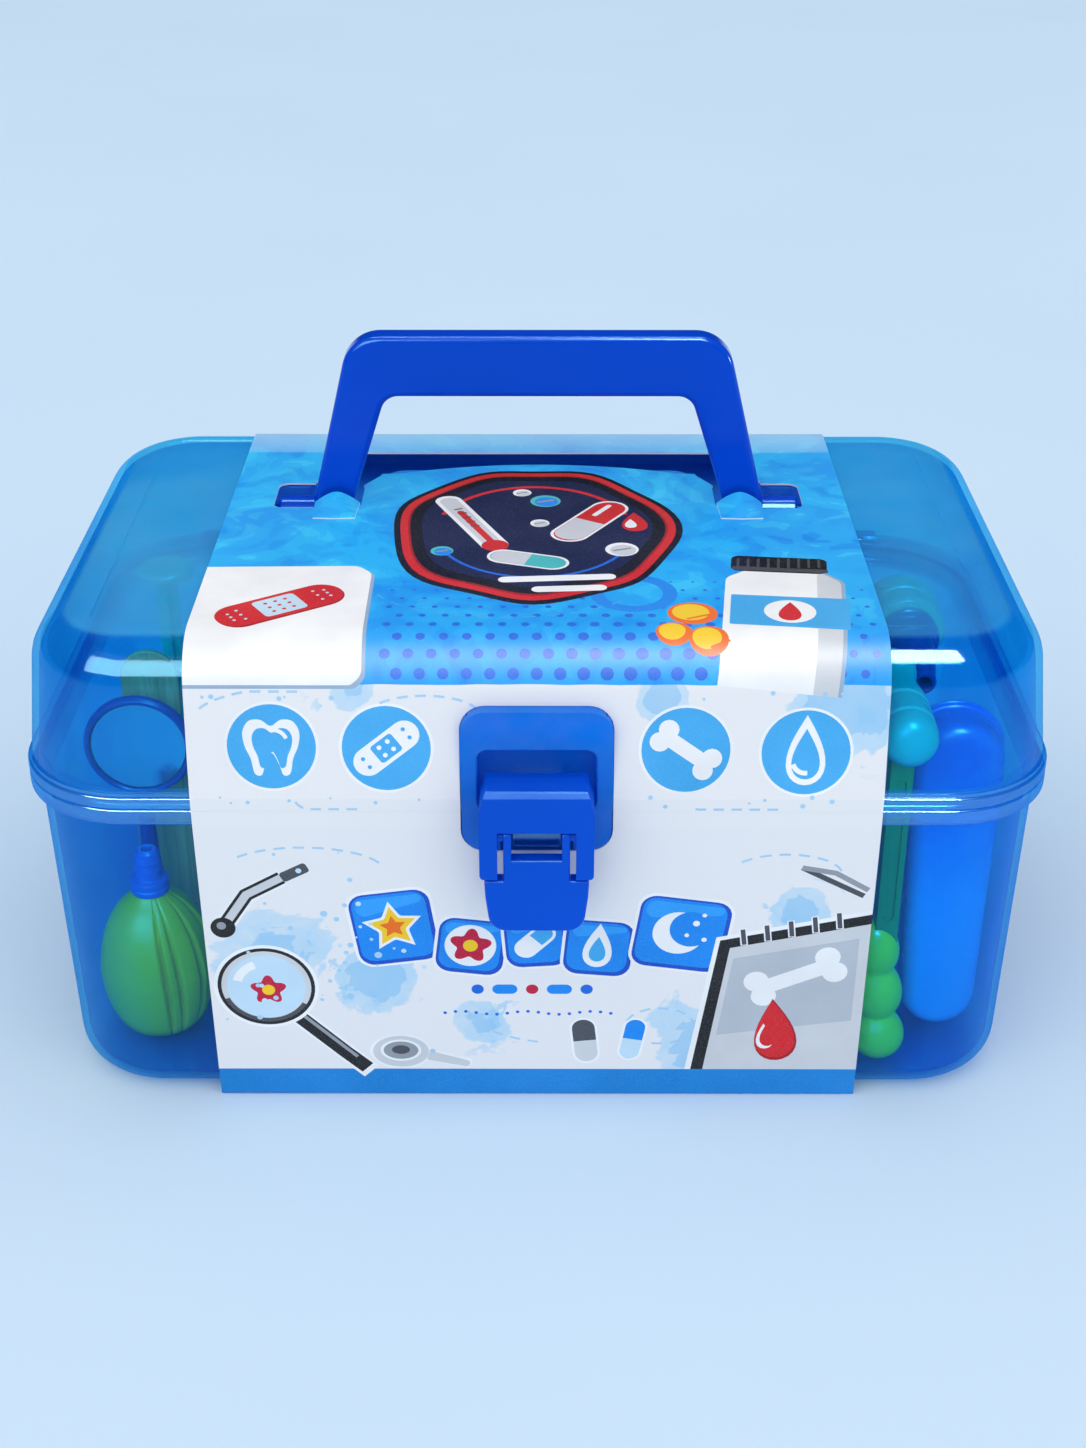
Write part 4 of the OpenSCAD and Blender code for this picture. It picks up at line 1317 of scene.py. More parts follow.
            Q(rrect(13.0, 3.8, 0.4), "white", 0, 0, 1, -35)
    tile(-64.0, 108.6, 21.5, "tooth")
    tile(-36.3, 108.2, 21.5, "plaster")
    tile(36.0, 107.8, 21.5, "bone")
    tile(65.0, 107.2, 21.5, "drop")
    for line, w in ((arc_pts(-52, 116, 30, 100, 168, 16, 8), 0.6), (arc_pts(-27, 117, 13, 10, 150, 14, 4.5), 0.6), (arc_pts(50, 94, 12, 200, 340, 14, 5), 0.6), (arc_pts(-50, 95, 9, 190, 350, 14, 4), 0.6)):
        for d in dashes([(x, min(122.5, max(92.2, z))) for x, z in line], w, 2.6, 1.8):
            S.append((on_up(d), "dash"))
    for i in range(26):
        x = rnd.choice((-1, 1)) * rnd.uniform(24, 82)
        z = rnd.choice((rnd.uniform(93, 96.2), rnd.uniform(120.5, 122.5)))
        S.append((on_up(circle(x, z, rnd.uniform(0.25, 0.7), 8)), "dash"))
    return S


def art_lower():
    rnd = random.Random(11)
    S = []
    L = LS[-1][1]
    S.append(([(-90, -1), (90, -1), (90, L + 1), (-90, L + 1)], "card_white"))
    zb = v_front(LS, 9.2)
    S.append(([(-90, zb), (90, zb), (90, L - zb), (-90, L - zb)], "stripe"))

    def G(pts, key, x=0, y=0, k=1.0, rot=0.0):
        S.append((on_low(tf(pts, x, y, k, rot)), key))
    # dashed loops
    for line in (arc_pts(-58, 74, 20, 20, 170, 16, 7), arc_pts(62, 73, 14, 10, 175, 14, 6), arc_pts(32, 24, 9, 0, 330, 18, 6), arc_pts(8, 30, 26, 185, 262, 14, 12)):
        for d in dashes(line, 0.6, 2.8, 2.0):
            S.append((on_low(d), "dash"))
    # row of tumbling toy blocks with simple pictures on them
    def block(cx, cz, s, rot, picture, w=1.0):
        def Q(pts, key, x=0, y=0, k=1.0, r=0.0):
            G([(px, pz) for px, pz in tf(tf(pts, x, y, k, r), 0, 0, 1, rot)], key, cx, cz)
        Q(rrect(s * w + 3.4, s + 3.4, 4.6), "white", 0.2, -0.2)
        Q(rrect(s * w + 1.8, s + 1.8, 4.0), "royal", 0.2, -0.3)
        Q(rrect(s * w, s, 3.4), "bright")
        Q(round_poly([(-s * w / 2 + 0.9, s * 0.18), (-s * w / 2 + 0.9, s / 2 - 0.9), (s * w / 2 - 0.9, s / 2 - 0.9), (s * w / 2 - 0.9, s * 0.34)], [2.4, 2.6, 2.6, 1.6], 5), "sky")
        if picture == "flower":
            Q(circle(0, 0, 6.6, 30), "white")
            Q(petals(11.0), "crimson")
            Q(circle(0, 0, 1.9, 18), "yellow")
        elif picture == "star":
            Q(round_poly(star(16.0), [1.2, 0] * 5, 3), "white")
            Q(round_poly(star(12.6), [0.9, 0] * 5, 3), "yellow")
            Q(round_poly(star(7.0), [0.5, 0] * 5, 3), "orange")
        elif picture == "moon":
            Q(circle(-0.6, 0, 6.6, 36), "white")
            Q(circle(2.4, 1.6, 5.5, 32), "bright")
            for x, y, r in ((3.4, 3.6, 0.9), (6.2, -1.2, 0.7), (1.6, -0.4, 0.6), (5.0, 6.4, 0.6)):
                Q(circle(x, y, r, 12), "white")
        elif picture == "drop":
            Q(drop(14), "white", 0, 0.6)
            Q(drop(8), "tile", 0, -0.6)
        elif picture == "capsule":
            Q(stadium(12.6, 6.0), "white", 0, 0, 1, 42)
            Q(round_poly([(0.3, -2.2), (5.5, -2.2), (5.5, 2.2), (0.3, 2.2)], [0, 2.1, 2.1, 0], 5), "tile", 0, 0, 1, 42)
    block(-36.5, 56.5, 20.5, 8, "star", 0.92)
    block(-17.0, 50.5, 15.5, -7, "flower", 1.0)
    block(-0.5, 52.0, 14.0, 4, "capsule", 1.0)
    block(15.5, 50.0, 15.5, -5, "drop", 1.0)
    block(36.5, 54.5, 20.5, -8, "moon", 1.05)
    # a row of small bars below
    x = -18.0
    for i, w in enumerate((3.2, 6.5, 3.2, 6.5, 3.2)):
        G(stadium(w, 3.1), ("mid", "bright", "crimson", "bright", "mid")[i], x + w / 2 + 1, 36.3)
        x += w + 2.2
    for i in range(17):
        G(circle(-24 + i * 2.7, 28.4 + 0.5 * sin(i), 0.5, 8), "mid")
    # magnifier and thermometer, left
    G(stroke([(-63.5, 28.5), (-50.5, 15.0), (-44.0, 8.4)], 5.6), "white")
    G(stroke([(-63.5, 28.5), (-50.5, 15.0), (-45.0, 9.6)], 4.2), "black")
    G(stroke([(-62.5, 29.0), (-47.5, 13.4)], 1.0), "grey")
    G(circle(-70.0, 37.0, 13.6, 48), "white")
    G(circle(-70.0, 37.0, 12.6, 48), "black")
    G(circle(-70.0, 37.0, 11.6, 48), "light_grey")
    G(arc_pts(-70, 37, 11.6, 200, 330, 20) + arc_pts(-70, 37, 10.4, 330, 200, 20), "dark_grey")
    G(circle(-70.0, 37.0, 10.2, 44), "pale")
    G(arc_pts(-70, 37, 8.8, 110, 165, 12) + arc_pts(-70, 37, 6.4, 165, 110, 12), "white")
    G(petals(9.6), "crimson", -69.5, 36.0)
    G(circle(-69.5, 36.0, 1.7, 16), "yellow")
    for k2, (w, key) in enumerate(((5.2, "white"), (3.8, "black"), (2.2, "light_grey"))):
        G(stroke([(-78.5, 58.0), (-73.0, 66.5), (-63.8, 71.8)], w), key)
    G(circle(-79.6, 56.2, 3.2, 20), "black")
    G(circle(-80.0, 56.8, 1.2, 12), "grey")
    G(rrect(7.5, 3.0, 0.8), "dark_grey", -60.5, 73.4, 1, 28)
    # bandage roll in front
    G([(x, z) for x, z in arc_pts(-36, 15.2, 8.2, 0, 360, 30, 6.0)][:-1], "white")
    G(arc_pts(-36, 15.2, 7.4, 0, 360, 30, 5.3)[:-1], "light_grey")
    G(arc_pts(-36, 15.6, 5.4, 0, 360, 24, 3.7)[:-1], "white")
    G(arc_pts(-36, 15.6, 4.6, 0, 360, 24, 3.0)[:-1], "grey")
    G(arc_pts(-36, 15.8, 2.4, 0, 360, 20, 1.5)[:-1], "dark_grey")
    G(round_poly([(-29.5, 12.2), (-18, 9.4), (-17, 12.6), (-28.2, 16.0)], [0.5, 0.8, 0.8, 0.5], 3), "white")
    G(round_poly([(-29.2, 12.4), (-18.2, 9.9), (-17.6, 11.9), (-28.4, 15.4)], [0.5, 0.8, 0.8, 0.5], 3), "light_grey")
    # two capsules on end
    G(stadium(7.2, 15.5), "white", 12.5, 19.0, 1, 6)
    G(stadium(6.0, 14.3), "light_grey", 12.5, 19.0, 1, 6)
    G(round_poly([(-3.0, 0), (3.0, 0), (3.0, 7.1), (-3.0, 7.1)], [0, 0, 2.9, 2.9], 5), "dark_grey", 12.5, 19.0, 1, 6)
    G(stadium(6.4, 14.5), "white", 25.0, 19.5, 1, -10)
    G(stadium(5.2, 13.3), "bright", 25.0, 19.5, 1, -10)
    G(round_poly([(-2.6, -6.6), (2.6, -6.6), (2.6, 0), (-2.6, 0)], [2.5, 2.5, 0, 0], 5), "pale", 25.0, 19.5, 1, -10)
    # wire-bound pad with a bone on it, right
    film = [(40.0, 12.0), (47.0, 52.0), (84.7, 60.5), (84.7, 9.2), (41.0, 9.2)]
    G([(39.0, 9.2), (45.6, 53.2), (84.7, 62.0), (84.7, 9.2)], "white")
    G([(40.6, 9.2), (46.6, 52.2), (84.7, 60.6), (84.7, 9.2)], "black")
    G([(43.8, 9.2), (49.2, 49.8), (84.7, 57.6), (84.7, 9.2)], "light_grey")
    G([(45.4, 9.2), (50.2, 46.4), (82.0, 53.0), (82.0, 9.2)], "film")
    G([(45.4, 9.2), (47.0, 21.0), (82.0, 26.0), (82.0, 9.2)], "light_grey")
    for e in (-1, 1):
        for j in (-1, 1):
            G(circle(0, 0, 3.3, 18), "white", *[c for c in tf([(e * 9.8, j * 2.6)], 66.5, 40.5, 1, 24)[0]])
    G(rrect(20, 4.6, 0.5), "white", 66.5, 40.5, 1, 24)
    G(drop(21), "dark_red", 62.2, 22.8, 1, 6)
    G(drop(19.6), "red", 62.0, 23.0, 1, 6)
    G(drop(8.5), "white", 59.6, 20.6, 1, 6)
    G(drop(7.6), "red", 60.3, 21.0, 1, 6)
    for x in (52.5, 58.5, 64.5, 70.5, 76.5):     # wire loops of the pad
        z = 52.0 + (x - 46.6) * 0.2205
        G(stroke([(x + 0.3, z - 2.6), (x - 0.3, z + 2.6)], 1.9), "white")
        G(stroke([(x + 0.3, z - 2.4), (x - 0.3, z + 2.4)], 1.2), "dark_grey")
    # tweezers above it
    G(stroke([(66.0, 75.0), (73.0, 71.2), (82.0, 66.4)], 1.5), "dark_grey")
    G(stroke([(66.0, 75.0), (74.5, 73.4), (83.0, 68.2)], 1.5), "grey")
    for i in range(44):
        x, z = rnd.gauss(-58, 17), rnd.gauss(46, 15)
        if -83 < x < -26 and 14 < z < 82:
            G(circle(x, z, rnd.uniform(0.3, 1.1), 9), rnd.choice(("dash", "pale")))
    return S


def cut_holes_upper():
    H = [on_cut_front(US, 91.0, 119.0)]
    for s in (-1, 1):
        H.append(on_top([(s * x, y) for x, y in tf(rrect(24, 18, 3, 6), 60.6, 18)]))
        H.append(on_top([(s * x, y) for x, y in round_poly([(48.6, 12), (50.4, 23), (44.6, 33), (43.4, 51), (57, 51), (64.4, 20)], [0.5, 1, 2, 1, 1, 0.5], 3)]))
    y1 = 51.0
    arc = [(x, math.sqrt(116.0 ** 2 - x * x) - 74.6) for x in np.linspace(46, -46, 47)]
    arc = [(x, y) for x, y in arc if y > 34.0]
    H.append(on_top([(-46, 34.2), (-46, y1), (46, y1), (46, 34.2)] + [(x, max(y, 34.2)) for x, y in arc]))
    return H


def on_cut_front(segs, z0, z1):
    pts = [(x, z + 99.5) for x, z in rr(18.7, 19.5, 6.2, 8)]
    out = []
    for x, z in pts:
        if z0 < z:
            out.append((x, v_front(segs, min(z, 121.0))))
        else:
            out.append((x, -0.6))
    return out


def on_cut_low(segs):
    out = []
    for x, z in [(x, z + 99.5) for x, z in rr(18.7, 19.5, 6.2, 8)]:
        out.append((x, v_front(segs, z) if z < 91.4 else -0.6))
    return out


def sstep(t):
    t = max(0.0, min(1.0, t))
    return t * t * (3 - 2 * t)


def lift_upper(x, v, y, z):
    w = sstep((z - 92.0) / 8.0) if z < 121 else 1.0
    e = 0.5 + 0.5 * sstep((abs(x) - 60) / 24)
    return w * e * 0.13 * (1 + noise.noise(Vector((x * 0.022, v * 0.03, 0.3))))


def lift_lower(x, v, y, z):
    w = sstep((91.0 - z) / 10.0) * sstep(z / 12.0)
    e = 0.5 + 0.5 * sstep((abs(x) - 60) / 24)
    return w * e * 0.15 * (1 + noise.noise(Vector((x * 0.02, v * 0.028, 5.3))))


up = build_sheet("card_sleeve_upper", US, art_upper(), cut_holes_upper(), lift_upper)
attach(up, "lid")
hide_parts("sleeve_upper")
lo_s = build_sheet("card_sleeve_lower", LS, art_lower(), [on_cut_low(LS)], lift_lower)
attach(lo_s, "tub")
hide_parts("sleeve_lower")


def card_flap(s):
    """the little tab that was pushed up in front of each handle foot."""
    z0 = TOP_Z + 0.62
    cx = s * 55.2
    rows = []
    m = 10
    for j in range(7):
        t = j / 6.0
        y = 11.6 - 10.6 * t
        row = []
        for i in range(m + 1):
            u = -1 + 2 * i / m
            wid = 6.2 - 0.5 * t
            peak = (1 - abs(u) ** 1.6) * (3.4 * (1 - t) ** 0.9)
            row.append((cx + u * wid, y + 0.4 * abs(u), z0 + max(0.0, peak)))
        rows.append(row)
    verts, faces, midx = [], [], []
    n = (m + 1) * 7
    for k in (0, 1):
        for row in rows:
            for (x, y, z) in row:
                verts.append((x, y, z + (0.42 if k == 0 else 0.0)))
    for j in range(6):
        for i in range(m):
            a = j * (m + 1) + i
            faces.append((a, a + 1, a + m + 2, a + m + 1)); midx.append(0)
            faces.append((n + a + m + 1, n + a + m + 2, n + a + 1, n + a)); midx.append(1)
    ringi = [i for i in range(m + 1)] + [j * (m + 1) + m for j in range(1, 7)] + [6 * (m + 1) + i for i in range(m - 1, -1, -1)] + [j * (m + 1) for j in range(5, 0, -1)]
    for q in range(len(ringi)):
        a, b = ringi[q], ringi[(q + 1) % len(ringi)]
        faces.append((b, a, n + a, n + b)); midx.append(2)
    ob = mesh_obj("card_flap_" + ("right" if s > 0 else "left"), verts, faces, [INK["card_sky"], INK["card_back"], INK["cut_edge"]], midx)
    fix_normals(ob)
    ob.data.set_sharp_from_angle(angle=rad(40))
    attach(ob, "lid")


card_flap(-1)
card_flap(1)


# ------------------------------------------------------------------ toys inside
FLOOR = 2.3


def upright(cx, cy):
    return lambda x, y, t: (cx + x, cy + y, t)


def forward(cx, cz):
    """turned round an axis that runs from front to back."""
    return lambda x, y, t: (cx + x, t, cz + y)


def turned(name, place, profile, n=48, mod=None):
    rings = []
    for r, t in profile:
        rings.append([place(r * (mod(2 * math.pi * i / n, t) if mod else 1) * cos(2 * math.pi * i / n), r * (mod(2 * math.pi * i / n, t) if mod else 1) * sin(2 * math.pi * i / n), t) for i in range(n)])
    return loft(name, rings)


def rounded_profile(pts, radii, n=5):
    """profile line (r, t) with its inner corners rounded; the ends stay as they are."""
    out = [pts[0]]
    for i in range(1, len(pts) - 1):
        p, a, b = Vector(pts[i]), Vector(pts[i - 1]), Vector(pts[i + 1])
        r = radii[i] if hasattr(radii, "__len__") else radii
        da, db = a - p, b - p
        la, lb = da.length, db.length
        da.normalize()
        db.normalize()
        ang = math.acos(max(-1, min(1, da.dot(db))))
        if r <= 0 or ang > math.pi - 0.03:
            out.append((p.x, p.y))
            continue
        t = min(r / math.tan(ang / 2), 0.48 * la, 0.48 * lb)
        q0, q1 = p + da * t, p + db * t
        for k in range(n + 1):
            f = k / n
            q = q0 * (1 - f) ** 2 + p * 2 * f * (1 - f) + q1 * f ** 2
            out.append((q.x, q.y))
    out.append(pts[-1])
    return out


TOYS = bpy.data.collections.new("toys_inside")


def toy(ob, name, mats, link_name, node, angle=34.0, bevel=0.0):
    ob.name = name
    TOYS.objects.link(ob)
    finish_shape(ob, mats, angle, bevel=bevel)
    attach(ob, link_name)
    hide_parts(node)
    return ob


def soft_rubber(name, color, rough=0.42):
    k = Nodes(name)
    big = k.noise(30.0, 3.0, 0.5, None, 0.3)
    fine = k.noise(1100.0, 3.0, 0.6)
    dust = k.noise(150.0, 5.0, 0.7)
    c = k.mix(k.rangemap(big, 0.3, 0.7), tuple(x * 0.88 for x in color[:3]) + (1,), tuple(min(1, x * 1.08) for x in color[:3]) + (1,))
    c = k.mix(k.math("MULTIPLY", k.rangemap(dust, 0.55, 0.8), 0.16), c, tuple(min(1, x * 0.6 + 0.3) for x in color[:3]) + (1,))
    n = k.bump(fine, 0.10, 0.0001, k.bump(big, 0.08, 0.002))
    return k.finish(k.principled(c, k.rangemap(dust, 0.3, 0.75, rough * 0.85, rough * 1.25), n, Specular_IOR_Level=0.4))


def wood_material():
    k = Nodes("wood_birch")
    v = k.mapping((1.0, 1.0, 0.06))
    w = k.noise(420.0, 4.0, 0.6, v, 0.8)
    w2 = k.noise(90.0, 3.0, 0.5, v, 0.4)
    c = k.ramp(w, [(0.0, lin(176, 132, 82)), (0.42, lin(206, 164, 112)), (0.55, lin(222, 184, 134)), (1.0, lin(236, 204, 160))])
    c = k.mix(k.rangemap(w2, 0.3, 0.7, 0.0, 0.35), c, lin(190, 142, 90))
    pores = k.rangemap(k.noise(900.0, 2.0, 0.5, k.mapping((1.0, 1.0, 0.03))), 0.62, 0.72)
    c = k.mix(k.math("MULTIPLY", pores, 0.4), c, lin(132, 92, 54))
    return k.finish(k.principled(c, k.rangemap(w, 0.3, 0.7, 0.5, 0.68), k.bump(w, 0.2, 0.0002), Specular_IOR_Level=0.3))


def mirror_material():
    k = Nodes("mirror_foil")
    big = k.noise(24.0, 2.0, 0.5)
    scr = k.noise(260.0, 5.0, 0.7, k.mapping((1, 1, 0.15), rot=(0, 0.6, 0)))
    c = k.mix(k.rangemap(big, 0.3, 0.7), lin(206, 212, 220), lin(228, 232, 238))
    r = k.rangemap(scr, 0.35, 0.75, 0.10, 0.26)
    return k.finish(k.principled(c, r, k.bump(big, 0.05, 0.002, k.bump(scr, 0.05, 0.0001)), Metallic=0.9))


def clear_plastic():
    k = Nodes("clear_barrel")
    flow = k.noise(30.0, 2.0, 0.5, k.mapping((1, 1, 0.5)))
    scuff = k.noise(160.0, 5.0, 0.7)
    lw = k.new("ShaderNodeLayerWeight")
    lw.inputs["Blend"].default_value = 0.4
    z = k.xyz()[2]
    # printed scale marks: one line every 4 mm on the side that faces the front
    ph = k.math("FRACT", k.math("MULTIPLY", z, 250.0))
    line = k.math("LESS_THAN", k.math("ABSOLUTE", k.math("SUBTRACT", ph, 0.5)), 0.075)
    pos = k.xyz()
    span = k.math("MULTIPLY", k.math("LESS_THAN", pos[1], 0.0145), k.math("LESS_THAN", pos[0], -0.1035))
    span = k.math("MULTIPLY", span, k.math("LESS_THAN", z, 0.058))
    span = k.math("MULTIPLY", span, k.math("GREATER_THAN", z, 0.0125))
    mark = k.math("MULTIPLY", line, span)
    see = k.new("ShaderNodeBsdfTransparent")
    k.put(see.inputs["Color"], k.mix(k.rangemap(flow, 0.3, 0.7), lin(232, 244, 248), lin(222, 238, 244)))
    dif = k.new("ShaderNodeBsdfPrincipled")
    k.put(dif.inputs["Base Color"], k.mix(mark, k.mix(k.rangemap(scuff, 0.4, 0.75), lin(206, 226, 234), lin(226, 238, 242)), lin(30, 60, 110)))
    dif.inputs["Roughness"].default_value = 0.2
    a = k.new("ShaderNodeMixShader")
    k.put(a.inputs[0], k.math("MAXIMUM", k.math("MULTIPLY", mark, 0.9), k.rangemap(lw.outputs["Facing"], 0.0, 1.0, 0.34, 0.8)))
    k.t.links.new(see.outputs[0], a.inputs[1])
    k.t.links.new(dif.outputs[0], a.inputs[2])
    return k.finish(a.outputs[0])


def dish_plastic():
    """glossy blue, lighter towards the floor and deeper towards the top."""
    k = Nodes("toy_dish_blue")
    flow = k.noise(22.0, 3.0, 0.5, None, 0.4)
    fine = k.noise(1400.0, 2.0, 0.5)
    wear = k.noise(120.0, 6.0, 0.7)
    z = k.math("ADD", k.xyz()[2], k.math("MULTIPLY", flow, 0.012))
    c = k.mix(k.rangemap(z, 0.045, 0.098, 0.0, 1.0, "SMOOTHSTEP"), lin(0, 168, 238), lin(0, 106, 214))
    c = k.mix(k.math("MULTIPLY", k.rangemap(wear, 0.55, 0.8), 0.12), c, lin(60, 176, 240))
    return k.finish(k.principled(c, k.rangemap(wear, 0.35, 0.75, 0.22, 0.34), k.bump(flow, 0.05, 0.002, k.bump(fine, 0.05, 0.0001)), Specular_IOR_Level=0.3))


M_BULB = soft_rubber("bulb_yellow_green", lin(255, 222, 4), 0.4)
M_NAVY = solid_plastic("toy_dark_blue", lin(14, 62, 160), rough=0.3)
M_NECK = solid_plastic("toy_neck_blue", lin(30, 112, 214), rough=0.3)
M_MIRROR = mirror_material()
M_WOOD = wood_material()
M_CLEAR = clear_plastic()
M_TEAL = solid_plastic("toy_teal", lin(22, 196, 190), rough=0.3)
M_GREEN = solid_plastic("toy_green", lin(206, 250, 52), rough=0.3)
M_DGREEN = solid_plastic("toy_dark_green", lin(8, 158, 84), rough=0.33)
M_DISH = dish_plastic()


def make_bulb():
    cx, cy = -105.0, -45.0

    def prof(u):
        return 15.6 * math.sqrt(max(0.004, 1 - (2 * u - 0.86) ** 2 / 1.32))
    pts = [(0.3, FLOOR + 0.25), (prof(0.0) * 0.80, FLOOR + 0.25), (prof(0.02) * 0.95, FLOOR + 0.9)]
    for i in range(1, 40):
        u = i / 40
        pts.append((prof(0.04 + 0.95 * u), FLOOR + 0.25 + 42.2 * (0.04 + 0.955 * u)))
    pts += [(4.6, FLOOR + 42.6), (0.3, FLOOR + 42.6)]
    view = rad(-90 + 13)
    creases = [(5, 2.0, 0.17), (20, 2.2, 0.15), (47, 3.0, 0.12), (76, 4.0, 0.12), (108, 4.0, 0.12), (140, 4.0, 0.12), (172, 4.0, 0.12), (206, 5.0, 0.10)]

    def mod(a, t):
        u = (t - FLOOR) / 42.6
        m = 1.0
        for phi, w, d in creases:
            lean = (u - 0.5) * (-9 if phi < 30 else 0)
            e = (a - view - rad(phi + lean) + math.pi) % (2 * math.pi) - math.pi
            m -= d * math.exp(-(e / rad(w)) ** 2) * sin(math.pi * max(0.0, min(1.0, u))) ** 0.5
            # each panel swells a little between its creases
        # the smooth side bulges, a moulded band runs round it
        m += 0.022 * cos((a - view) * 9) * sin(math.pi * max(0.0, min(1.0, u))) * (1 if cos(a - view - rad(100)) > 0 else 0.25)
        return m * (1 + 0.010 * math.exp(-((u - 0.46) / 0.03) ** 2))
    ob = turned("bulb", upright(cx, cy), pts, 220, mod)
    toy(ob, "squeeze_bulb_rubber", [M_BULB], "tub", "squeeze_bulb", 50)

    z = FLOOR + 42.7
    neck = rounded_profile([(0.3, z), (5.2, z), (5.2, z + 1.5), (4.7, z + 2.0), (5.2, z + 2.5), (5.2, z + 4.0), (3.6, z + 4.4), (3.3, z + 6.4), (3.9, z + 6.8), (3.3, z + 9.0), (3.8, z + 9.4), (3.1, z + 12.4), (2.3, z + 13.0), (1.3, z + 13.0), (1.3, z + 6.0), (0.3, z + 6.0)], 0.35, 3)
    ob = turned("neck", upright(cx, cy), neck, 40)
    toy(ob, "bulb_neck_collar", [M_NECK], "tub", "bulb_neck")


def make_mirror():
    cx, cy = -109.0, -23.0
    h = [(0.3, FLOOR), (3.0, FLOOR), (3.6, FLOOR + 0.8)]
    for i in range(9):
        z = FLOOR + 5 + i * 2.6
        h += [(3.6, z), (3.15, z + 0.45), (3.15, z + 0.95), (3.6, z + 1.4)]
    h += [(3.6, FLOOR + 32), (2.6, FLOOR + 38), (2.3, FLOOR + 50), (2.5, FLOOR + 58), (3.2, FLOOR + 61.2), (0.3, FLOOR + 61.9)]
    frame_ob = turned("frame", upright(cx, cy), rounded_profile(h, 0.3, 2), 36)
    ring_pts = rounded_profile([(0.3, 0.0), (13.6, 0.0), (15.0, 1.2), (15.0, 2.9), (14.3, 4.0), (13.55, 4.0), (13.2, 3.5), (13.2, 1.55), (0.3, 1.55)], [0, 1.2, 0.8, 0.8, 0.4, 0.3, 0.3, 0.1, 0], 4)
    face = turned("ring", lambda x, y, t: (cx + x, -21.0 - t, 77.5 + y), ring_pts, 72)
    boolean(frame_ob, face, "UNION")
    toy(frame_ob, "mirror_frame_blue", [M_NAVY], "tub", "mirror_frame")
    disc = turned("disc", lambda x, y, t: (cx + x, -22.6 - t, 77.5 + y), [(0.3, 0.0), (12.95, 0.0), (13.08, 0.15), (13.08, 1.1), (12.8, 1.32), (9.0, 1.5), (4.0, 1.58), (0.3, 1.6)], 72)
    toy(disc, "mirror_disc_foil", [M_MIRROR], "tub", "mirror_disc")


def make_spatula():
    out = [(x - 107, z) for x, z in [(8 * cos(t) * (1 - 0.0), 92 + 8 * sin(t)) for t in [math.pi * i / 20 for i in range(21)]] + [(-7.85, 70), (-7.6, 51), (-7.85, 30)] + [(-8 * cos(t), FLOOR + 8 - 8 * sin(t)) for t in [math.pi * i / 20 for i in range(21)]] + [(7.85, 30), (7.6, 51), (7.85, 70)]]
    ob = prism("spatula", out, "y", edge_stations(-11.0, -9.1, 0.55, 4))
    toy(ob, "tongue_spatula_wood", [M_WOOD], "tub", "tongue_spatula", 40)


def make_syringe():
    cx, cy = -106.0, 20.0
    z = FLOOR
    body = rounded_profile([(0.9, z), (1.55, z), (2.0, z + 6.4), (3.4, z + 6.9), (7.9, z + 7.6), (8.25, z + 8.4), (8.25, z + 59.8), (8.25, z + 61.2), (0.9, z + 61.2)], [0, 0.2, 0.4, 0.8, 0.8, 0.8, 0, 0, 0], 3)
    ob = turned("barrel", upright(cx, cy), body, 56)
    fl = prism("flange", [(cx + x, cy + y) for x, y in rr(8.5, 15, 7.9, 10)], "z", edge_stations(z + 59.4, z + 61.2, 0.45, 3))
    ring_a = turned("band", upright(cx, cy), [(7.2, z + 55.6), (8.3, z + 55.6), (8.5, z + 55.9), (8.5, z + 56.6), (8.3, z + 56.9), (7.2, z + 56.9)], 56)
    boolean(ob, [fl, ring_a], "UNION")
    bore = turned("bore", upright(cx, cy), [(0.6, z + 7.9), (6.4, z + 8.6), (7.0, z + 9.2), (7.0, z + 70), (0.6, z + 70)], 56)
    tip = turned("tip", upright(cx, cy), [(0.75, z - 1), (0.75, z + 8.5)], 16)
    boolean(ob, [bore, tip])
    toy(ob, "syringe_barrel_clear", [M_CLEAR], "tub", "syringe_barrel", 36)

    seal = turned("seal", upright(cx, cy), rounded_profile([(0.3, 42.0), (2.4, 42.0), (6.4, 43.2), (6.9, 43.6), (6.9, 44.3), (6.2, 44.7), (6.2, 45.7), (6.9, 46.1), (6.9, 47.4), (6.3, 48.0), (0.3, 48.0)], 0.25, 2), 56)
    fins = [box("fin", cx - 2.95, cx + 2.95, cy - 0.6, cy + 0.6, 47.6, 109.3), box("fin", cx - 0.6, cx + 0.6, cy - 2.95, cy + 2.95, 47.6, 109.3)]
    for q in (62, 78, 94):
        fins.append(turned("web", upright(cx, cy), [(0.3, q), (2.85, q), (2.95, q + 0.2), (2.95, q + 1.0), (2.85, q + 1.2), (0.3, q + 1.2)], 32))
    fins.append(turned("thumb", upright(cx, cy), rounded_profile([(0.3, 109.0), (3.4, 109.0), (7.7, 109.3), (8.0, 109.9), (8.0, 110.9), (7.4, 111.6), (6.2, 111.6), (5.4, 111.15), (0.3, 111.1)], 0.4, 3), 56))
    boolean(seal, fins, "UNION")
    toy(seal, "syringe_plunger_teal", [M_TEAL], "plunger", "syringe_plunger", 36)


